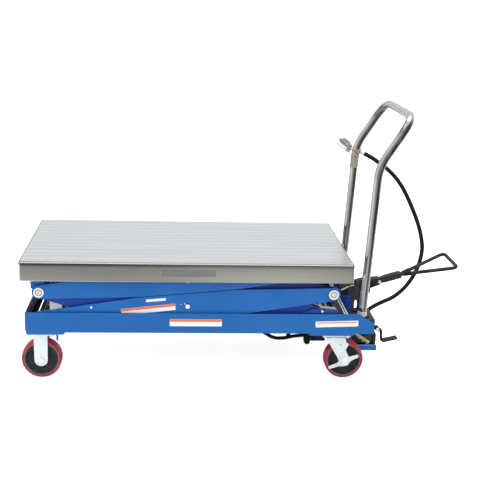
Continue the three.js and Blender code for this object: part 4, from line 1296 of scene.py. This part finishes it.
def elbow(start, turn, end, radius=6.0):
    """A brass elbow fitting with a hexagon at each end."""
    start, turn, end = Vector(start), Vector(turn), Vector(end)
    path = bent([start, turn, end], min((turn - start).length, (end - turn).length) * 0.6)
    first, last = (turn - start).normalized(), (end - turn).normalized()
    return merged(
        tube(path, radius, 16),
        hexagon(radius * 2.7, 0, radius * 1.4, at=start, along=first),
        hexagon(radius * 2.7, -radius * 1.4, 0, at=end, along=last),
    )


def pump_body():
    high = extent("pump_block")[1]
    x0, x1, y0, y1, z0, z1 = 655, 748, -100, 40, 72, 185
    seat = extent("pump_plunger")[0].z - 20
    parts = [
        cuboid(x0, x1, y0, y1, z0, z1, 3.0),
        cuboid(x0 + 8, x1 - 8, y0 - 3, y1 + 3, z0 + 14, z1 - 16, 2.0),
        cuboid(x0 - 3, x1 + 3, y0 + 18, y1 - 18, z0 + 20, z1 - 24, 2.0),
        cuboid(x0 + 30, x1 + 8, y0, y1 - 20, z0, 126, 2.5),
    ]
    column = rounded([
        (0, z1 - 2, 0), (27, z1 - 2, 0), (27, z1 + 6, 2), (16, z1 + 10, 2), (14, z1 + 14, 1), (14, 228, 3),
        (19, 232, 1), (20.5, 235, 0.5), (20.5, 242, 1.2), (11, 242, 1), (11, seat + 3, 0), (0, seat + 3, 0),
    ], 3)
    parts.append(lathe(column, at=(PLUNGER.x, 0, 0), along=UP, sides=40))
    ear = rounded([
        (655, z1 - 2, 0), (674, z1 - 2, 0), (675, 238, 6), (690, 250, 6),
        (690, high.z, 14), (652, high.z, 14), (641, 262, 8), (655, 236, 8),
    ], 6)
    for _, side in SIDES:
        parts.append(slab(ear, side * 19.5, side * 26, 1.4))
    pin_place = (672, 0, 292)
    for x, y, radius, height in ((680, -72, 11, 10), (722, -72, 9, 14), (724, -44, 6.5, 9)):
        parts.append(merged(
            disc(radius, 0, height * 0.5, 0.8, at=(x, y, z1), along=UP, sides=28),
            hexagon(radius * 1.5, height * 0.5, height, at=(x, y, z1), along=UP),
        ))
    ear_y = RELEASE_Y + 16
    parts.append(cuboid(x1 - 1, 768, ear_y - 6, ear_y, RELEASE_Z - 9, RELEASE_Z + 9, 1.2))
    steel = [
        disc(8, -25, 25, 1.0, at=pin_place, sides=24),
        disc(4.7, RELEASE_Y - 12, ear_y - 1, 0.6, at=(RELEASE_X, 0, RELEASE_Z), sides=20),
        disc(7, RELEASE_Y - 12.6, RELEASE_Y - 10.4, 0.5, at=(RELEASE_X, 0, RELEASE_Z), sides=20),
        coil((616, -30, 284), (644, -30, 299), 3.0, 8, 1.0),
        tube([(644, -30, 299), (668, -27, 305)], 1.2, 8),
    ]
    for side in (-1, 1):
        parts.append(bolt(12, 4, (pin_place[0], side * 26, pin_place[2]), (0, side, 0)))
    parts.append(bolt(10, 4, (682, -20, 316), (0, -1, 0)))
    parts.append(disc(8, 0, 9, 1.2, at=(x0 + 60, y0 - 3, 118), along=(0, -1, 0), sides=24))
    parts.append(slab(rectangle(668, 690, 296, 324, 9), -20.5, -14.5, 1.0))
    cap = rounded([(0, 0, 0), (8.6, 0, 1), (8.6, 10, 2), (0, 10, 0)], 3)
    downhill = (0.83, 0, -0.56)
    fittings = [
        elbow((x0 + 12, y0 - 2, 132), (x0 + 12, y0 - 13, 132), (x0 + 34, y0 - 13, 114), 6.2),
        tube([(x0 + 22, y0 - 13, 124), (x0 + 62, y0 - 13, 97)], 6.6, 16),
        hexagon(17, 0, 12, at=(x0 + 42, y0 - 13, 110.5), along=downhill),
        lathe(cap, at=(x0 + 60, y0 - 13, 98.5), along=downhill, sides=24),
    ]
    parts = [(CHARCOAL, merged(*parts)), (PIN_STEEL, merged(*steel)), (BRASS, merged(*fittings))]
    piece("pump_unit", "root", parts, ["pump_block"])
    top = extent("pump_plunger")[1].z
    rod = rounded([
        (0, seat + 20, 0), (10, seat + 20, 0.5), (10, top - 8, 0.4), (8.4, top - 6, 0.4), (8.4, top - 3, 2),
        (0, top, 0),
    ], 3)
    piston = lathe(rod, at=(PLUNGER.x, 0, 0), along=UP, sides=32)
    piece("pump_piston", "plunger", [(CHROME, piston)], ["pump_plunger"])


PEDAL_PIVOT = Vector((672, 0, 292))
PEDAL_RISE = math.radians(16.9)
PEDAL_REACH, PEDAL_SPREAD, PEDAL_ARM, PEDAL_ROD, PEDAL_STEP = 411, 99, 200, 6, 5
RELEASE_X, RELEASE_Y, RELEASE_Z = 760, -88, 143


def pedal():
    """Socket casting, a sleeved square arm held by a hitch pin, and a wide loop of round bar."""
    place = Matrix.Translation(PEDAL_PIVOT) @ Matrix.Rotation(-PEDAL_RISE, 4, "Y")
    casting = rounded([
        (-60, -24, 6), (-28, -34, 8), (26, -27, 8), (40, -40, 6), (58, -40, 6), (62, -22, 6), (104, -19, 3),
        (104, 9, 3), (30, 22, 8), (-16, 20, 10), (-58, 14, 5),
    ], 5)
    socket = slab(casting, -17, 17, 2.0, [ring(0, 0, 8.8)])
    parts = [
        cuboid(60, 108, -14, 14, -13.5, 13.5, 2.0),
        cuboid(96, 150, -12.5, 12.5, -11.5, 11.5, 1.5),
        cuboid(122, PEDAL_ARM - 4, -14, 14, -13, 13, 3.0),
        cuboid(126, PEDAL_ARM - 12, -10, 10, -13, 14.6, 2.0),
    ]
    inset = PEDAL_REACH - PEDAL_ROD
    loop = bent([
        (PEDAL_ARM - 12, -6, 0), (PEDAL_ARM + 8, -8, 0), (inset, -PEDAL_SPREAD, 0), (inset, PEDAL_SPREAD, 0),
        (PEDAL_ARM + 8, 8, 0), (PEDAL_ARM - 12, 6, 0),
    ], 8, 10)
    corners = bent([
        (PEDAL_ARM + 8, -8, 0), (inset, -PEDAL_SPREAD, 0), (inset, PEDAL_SPREAD, 0), (PEDAL_ARM + 8, 8, 0),
    ], 30, 10)
    # the loop starts at the arm with tight bends, and turns its two far corners with wide ones
    bar = tube([*loop[:12], *corners[1:-1], *loop[-12:]], 7.4, 16)
    sleeve = rounded([(5, 0, 0), (8.2, 0, 1.5), (8.2, 34, 1.5), (5, 34, 0)], 2)
    sleeves = []
    for _, side in SIDES:
        start = Vector((PEDAL_ARM + 6, side * 9, 0))
        toward = (Vector((inset, side * PEDAL_SPREAD, 0)) - start).normalized()
        sleeves.append(lathe(sleeve, at=start, along=toward, sides=20))
    pin = [
        tube([(104, -18, -2), (104, 18, -2)], 3, 14),
        tube(bent([(104, -16, -2), (104, -20, -6), (110, -21, -18), (115, -19, -27)], 4, 4), 1.4, 8),
        tube(hoop(104, -18, -1, 5), 1.1, 8),
        disc(6, 0, 3, 0.8, at=(104, 13, -2), along=(0, 1, 0), sides=20),
    ]
    lowered = place @ Matrix.Translation((0, 0, -PEDAL_STEP))
    parts = [
        (BLACK, merged(moved(socket, place), moved(merged(*parts, bar), lowered))),
        (RUBBER, moved(merged(*sleeves), lowered)),
        (PIN_STEEL, moved(merged(*pin), lowered)),
    ]
    piece("foot_pedal_arm", "pedal", parts, ["foot_pedal"])


def release():
    """A cranked release lever with a ribbed foot tread."""
    x, y, z = RELEASE_X, RELEASE_Y, RELEASE_Z
    path = [(x + 3, y, z), (x + 16, y, z - 4), (x + 21, y, z - 51), (x + 80, y, z - 37)]
    bar = tube(bent(path, 6, 6), 5.4, 14)
    tread_angle = -0.23
    tread_plate = cuboid(-36, 26, y - 16, y + 16, -4, 3, 1.4)
    ribs = [cuboid(a, a + 2.5, y - 14, y + 14, 2.4, 4, 0.5) for a in range(-30, 22, 7)]
    place = Matrix.Translation((x + 58, 0, z - 42)) @ Matrix.Rotation(tread_angle, 4, "Y")
    boss = disc(9, -9, 9, 1.2, inner=5.2, at=(x, y, z), sides=28)
    link = tube(hoop(x + 9, y + 4, z - 6, 8), 1.6, 8)
    solid = merged(bar, moved(merged(tread_plate, *ribs), place), boss, link)
    piece("release_foot_lever", "release", [(BLACK, solid)], ["release_lever"])


# ---------------------------------------------------------------- handle, valve and hoses

HANDLE_FOOT, HANDLE_BEND, HANDLE_TOP = (663, 212), (690, 826), (803, 1008)
HANDLE_Y, HANDLE_TUBE, HANDLE_CURVE = 226, 15.5, 50
AIR_HOSE, HYDRAULIC_HOSE = 8.7, 7


def handle():
    def post(side):
        return [Vector((x, side * HANDLE_Y, z)) for x, z in (HANDLE_FOOT, HANDLE_BEND, HANDLE_TOP)]

    near, far = post(-1), post(1)
    rise = [bent(line, HANDLE_CURVE, 12)[:-1] for line in (near, far)]
    path = [*rise[0], *bent([near[1], near[2], far[2], far[1]], 80, 14)[1:-1], *rise[1][::-1]]
    bar = tube(path, HANDLE_TUBE, 32)
    piece("push_handle", "root", [(CHROME, bar)], ["handle_tube"], smooth=50)
    x = HANDLE_FOOT[0]
    for tag, side in SIDES:
        y = side * HANDLE_Y
        block, band = [
            flat(rectangle(x - 24 - out, x + 24 + out, y - 18 - out, y + 18 + out, 7), low, high, edge)
            for out, low, high, edge in ((0, RAIL_BOTTOM + 4.3, 252, 1.6), (0.5, 226, 234, 1.2))
        ]
        cup = rounded([(15.7, 250, 0), (19.5, 250, 1), (18.6, 256, 1.5), (16.8, 268, 1), (15.7, 269, 0)], 4)
        collar = lathe(cup, at=(x + 1.2, y, 0), along=UP, sides=40)
        parts = [(BLACK, merged(block, band)), (PIN_FACE, collar)]
        piece("handle_socket_block_" + tag, "root", parts, ["handle_socket_" + tag])


VALVE_AT, VALVE_YAW, VALVE_LEAN = (655.5, 262.5, 826), -0.36, 0.57
VALVE_TURN = Matrix.Rotation(VALVE_YAW, 4, "Z") @ Matrix.Rotation(VALVE_LEAN, 4, "Y")
VALVE_PLACE = Matrix.Translation(VALVE_AT) @ VALVE_TURN


def valve():
    """A hand-lever air valve strapped beside the far post."""
    place = VALVE_PLACE
    along = (1, 0, 0)
    body = rounded([
        (0, -33, 0), (7, -33, 1), (8, -27, 0.8), (10.6, -25, 1.5), (12, -6, 1), (11, -3, 0.8), (11, 2, 0.8),
        (12, 5, 1), (12, 20, 2), (8, 25, 1), (8, 31, 0.8), (0, 31, 0),
    ], 3)
    grip = rounded([(-27, 4, 3), (-20, 16, 4), (2, 17, 5), (20, 8, 4), (20, -8, 3), (-27, -8, 3)], 3)
    metal = [lathe(body, along=along, sides=32), slab(grip, -7, 7, 2.0)]
    for _, side in SIDES:
        metal.append(cuboid(14, 30, side * 6.5, side * 9.5, -23, 0, 0.8))
    bright = [hexagon(16, 27, 36, along=along), hexagon(14, -39, -31, along=along)]
    nozzle = rounded([
        (0, -52, 0), (3.4, -52, 0.6), (5, -47, 0.6), (4, -45, 0.4), (4, -38, 0), (0, -38, 0),
    ], 2)
    bright.append(lathe(nozzle, along=along, sides=20))
    bright.append(disc(2.6, -10.5, 10.5, 0.5, at=(22, 0, -17), sides=14))
    parts = [(VALVE_GREY, moved(merged(*metal), place)), (PIN_FACE, moved(merged(*bright), place))]
    piece("air_valve", "root", parts, ["air_valve_body"])
    lever = rounded([
        (-38, -19.6, 1), (-35, -23.6, 1), (10, -24.4, 3), (22, -22.6, 5), (27.5, -17, 5), (22, -11.5, 5),
        (8, -16.8, 3), (-35, -17.4, 1),
    ], 4)
    solid = slab(lever, -5, 5, 0.8, [ring(22, -17, 3.4, 14)])
    piece("air_valve_trigger", "valve_lever", [(ZINC, moved(solid, place))], ["air_valve_lever"])


def hose_path():
    """The centre line of the hose, from the valve, out behind the handle, and back to the pump."""
    return flowing([
        (714, 256, 796), (762, 258, 773), (793, 258, 753), (830, 257, 728), (873, 252, 688),
        (907, 243, 642), (936, 232, 588), (964, 220, 526), (985, 206, 464), (995, 192, 400),
        (986, 180, 343), (970, 170, 303), (945, 158, 263), (912, 144, 229), (868, 126, 201),
        (813, 104, 184), (770, 78, 172), (739, 49, 160),
    ], 10)


def hoses():
    path = hose_path()
    hose = tube(path, AIR_HOSE, 20)
    piece("air_supply_hose", "root", [(RUBBER, hose)], ["air_hose"], smooth=60)
    start, toward = path[0], (path[1] - path[0]).normalized()
    last, back = path[-1], (path[-2] - path[-1]).normalized()
    ferrule = rounded([
        (7, -6, 0), (9.6, -6, 1), (10.2, 0, 1), (9.2, 4, 0.6), (10.2, 8, 1), (9.6, 18, 1), (8, 18, 0),
    ], 3)
    valve_end = VALVE_PLACE @ Vector((34, 0, 0))
    path = [valve_end, valve_end + Vector((12, -1, -4)), start - toward * 10, start]
    pipe = tube(flowing(path, 6), 6.6, 14)
    metal = merged(
        lathe(ferrule, at=start, along=toward, sides=28),
        lathe(ferrule, at=last, along=back, sides=28),
        pipe,
        hexagon(15, -12, -4, at=start, along=toward),
    )
    piece("hose_ferrules", "root", [(PIN_STEEL, metal)])

    # cloth tape and its knot hold the valve to the far post, and follow the post into its bend
    post = bent([(x, HANDLE_Y, z) for x, z in (HANDLE_FOOT, HANDLE_BEND, HANDLE_TOP)], HANDLE_CURVE, 12)

    def on_post(height):
        for low, high in zip(post, post[1:]):
            if low.z <= height <= high.z:
                return low.lerp(high, (height - low.z) / (high.z - low.z)), (high - low).normalized()

    wraps, wrap_low, wrap_pitch = [], 736, 6.4
    for k in range(9):
        middle, along = on_post(wrap_low + wrap_pitch * k)
        swell = 15.6 + 0.5 * math.sin(2.1 * k)
        section = rounded([(15.3, 0, 0), (swell + 0.6, 0, 1), (swell + 1.2, 7.2, 1), (15.3, 7.2, 0)], 2)
        along = along + Vector((0, 0.05 * math.sin(k), 0))
        wraps.append(lathe(section, at=middle, along=along, sides=36))
    knot = on_post(806)[0]
    for k in range(3):
        tilt = -0.3 + 0.25 * k
        loop = [
            knot + Vector((16.8 * math.cos(a), 17.6 * math.sin(a), 4 * k - 4 + 16 * tilt * math.cos(a)))
            for a in [i * math.pi / 12 for i in range(25)]
        ]
        wraps.append(tube(loop, 2.8, 8))
    piece("valve_tape", "root", [(TAPE, merged(*wraps))])


def hydraulics():
    """Pressure hose from the pump to the ram, hung in a loop under the frame, with its fittings."""
    loop = flowing([
        (655, -84, 150), (628, -92, 158), (598, -104, 172), (566, -114, 190), (550, -120, 214),
        (516, -123, 230), (470, -125, 230), (428, -127, 222), (340, -136, 216), (268, -146, 212),
        (244, -150, 196), (262, -150, 172), (300, -146, 148), (338, -133, 122), (378, -118, 113),
        (425, -97, 113), (468, -72, 108), (490, -44, 106),
    ], 8)
    hose = tube(loop, HYDRAULIC_HOSE, 16)
    piece("hydraulic_hose", "root", [(RUBBER, hose)], smooth=60)
    sleeve = rounded([(6, -4, 0), (8.6, -4, 1), (8.6, 18, 1), (6, 18, 0)], 2)
    ends = []
    for end, inward in ((loop[0], loop[1] - loop[0]), (loop[-1], loop[-2] - loop[-1])):
        ends.append(lathe(sleeve, at=end, along=inward, sides=24))
        ends.append(hexagon(16, -11, -3, at=end, along=inward))
    piece("hydraulic_hose_ends", "root", [(BRASS, merged(*ends))])

    hanger = merged(cuboid(492, 500, -72, -38, 84, 194, 1.2), cuboid(486, 500, -72, -66, 96, 108, 1.2))
    arm = cuboid(499, 557, -66, -54, 80, 99, 1.4)
    buffer = rounded([(0, -5, 0), (20, -5, 3), (20, 5, 3), (14, 5.6, 1), (0, 5, 0)], 3)
    pad = lathe(buffer, at=(483, -64, 86), along=(-0.9, -0.42, 0.08), sides=40)
    parts = [(BLUE, hanger), (BLACK, arm), (RUBBER, pad)]
    piece("ram_side_buffer", "root", parts)


def springs():
    """Return spring of the release linkage, beside the right-hand pivots, with its rod and hooks."""
    y = -236
    steel = merged(
        coil((521, y, 283), (557, y, 281), 4.6, 10, 1.2),
        tube([(478, y, 298), (500, y, 291), (521, y, 284)], [0.9, 2.0, 3.0], 12),
        tube([(516, y, 304), (527, y, 284)], 1.8, 8),
        tube([(557, y, 281), (568, y, 268)], 1.8, 8),
    )
    piece("release_return_spring", "root", [(PIN_STEEL, steel)])


# ---------------------------------------------------------------- studio

# Studio cards as seen in reflections: angle from +Y towards +X in degrees, and tone.
CARDS = [
    (-180, 0.50), (-158, 0.30), (-112, 0.95), (-80, 1.0), (-45, 0.55), (0, 0.95),
    (60, 0.9), (95, 0.5), (125, 0.10), (148, 0.16), (165, 0.55), (180, 0.50),
]


def studio():
    world = bpy.data.worlds.new("studio")
    bpy.context.scene.world = world
    world.use_nodes = True
    sky = Nodes(world.node_tree)
    direction = sky.node("TexCoord").outputs["Generated"]
    tone = sky.azimuth_tone(direction, CARDS)
    overhead = sky.spread(sky.split(direction)["Z"], 0.15, 0.75)
    rays = sky.node("LightPath").outputs
    reflected = sky.blend(overhead, tone, grey(1.0))
    lit = sky.blend(rays["Is Glossy Ray"], grey(1.0), reflected)
    background = sky.tree.nodes["Background"]
    sky.feed(background.inputs["Color"], sky.blend(rays["Is Camera Ray"], lit, grey(1.4)))
    background.inputs["Strength"].default_value = 0.82

    floor_mesh = bmesh.new()
    bmesh.ops.create_circle(floor_mesh, cap_ends=True, radius=90, segments=96)
    mesh = bpy.data.meshes.new("floor")
    floor_mesh.to_mesh(mesh)
    floor_mesh.free()
    floor = bpy.data.objects.new("floor", mesh)
    bpy.context.scene.collection.objects.link(floor)
    look = Finish("pale_floor", 0.0, 0.9)
    paper = look.blend(look.patches(0.8, 2.0, 0, 1), grey(0.93), grey(0.96))
    rays = look.node("LightPath").outputs
    reflected = look.azimuth_tone(look.place, CARDS)
    look.set(Base_Color=look.blend(rays["Is Glossy Ray"], paper, reflected), Specular_IOR_Level=0.1)
    look.set(Emission_Color=grey(1.0), Emission_Strength=look.times(rays["Is Camera Ray"], 0.72))
    mesh.materials.append(look.material)

    for name, place, size, power in (
        ("overhead_softbox", (0.0, -0.4, 3.4), 3.4, 62),
        ("front_softbox", (-1.8, -3.6, 2.2), 2.2, 34),
        ("right_softbox", (3.2, -1.2, 2.0), 1.8, 18),
    ):
        lamp = bpy.data.lights.new(name, "AREA")
        lamp.shape = "SQUARE"
        lamp.size = size
        lamp.energy = power
        light = bpy.data.objects.new(name, lamp)
        light.location = place
        light.rotation_euler = (Vector((0, 0, 0.4)) - Vector(place)).to_track_quat("-Z", "Y").to_euler()
        light.visible_glossy = name == "overhead_softbox"
        bpy.context.scene.collection.objects.link(light)


def camera():
    """A long lens a little left of the table's middle, looking slightly right and down."""
    place = TO_FRAME @ Vector((-54.4, -3458.5, 1455.1))
    yaw, pitch, roll = 0.0752, 0.2743, 0.0325
    forward = Vector((math.sin(yaw) * math.cos(pitch), math.cos(yaw) * math.cos(pitch), -math.sin(pitch)))
    level = Vector((math.cos(yaw), -math.sin(yaw), 0))
    raised = level.cross(forward)
    right = level * math.cos(roll) + raised * math.sin(roll)
    up = raised * math.cos(roll) - level * math.sin(roll)
    data = bpy.data.cameras.new("camera")
    data.lens = 68.44
    data.clip_end = 400
    made = bpy.data.objects.new("camera", data)
    axes = Matrix((right, up, -forward)).transposed().to_4x4()
    made.matrix_world = Matrix.Translation(place) @ axes
    bpy.context.scene.collection.objects.link(made)
    bpy.context.scene.camera = made
    bpy.context.scene.view_settings.view_transform = "Standard"


# ---------------------------------------------------------------- assembly

platform()
scissors()
shafts_and_rollers()
base()
for tag, side in SIDES:
    rigid_caster(tag, side)
    swivel_caster(tag, side)
ram()
pump_tray()
pump_body()
pedal()
release()
handle()
valve()
hoses()
hydraulics()
springs()
studio()
camera()
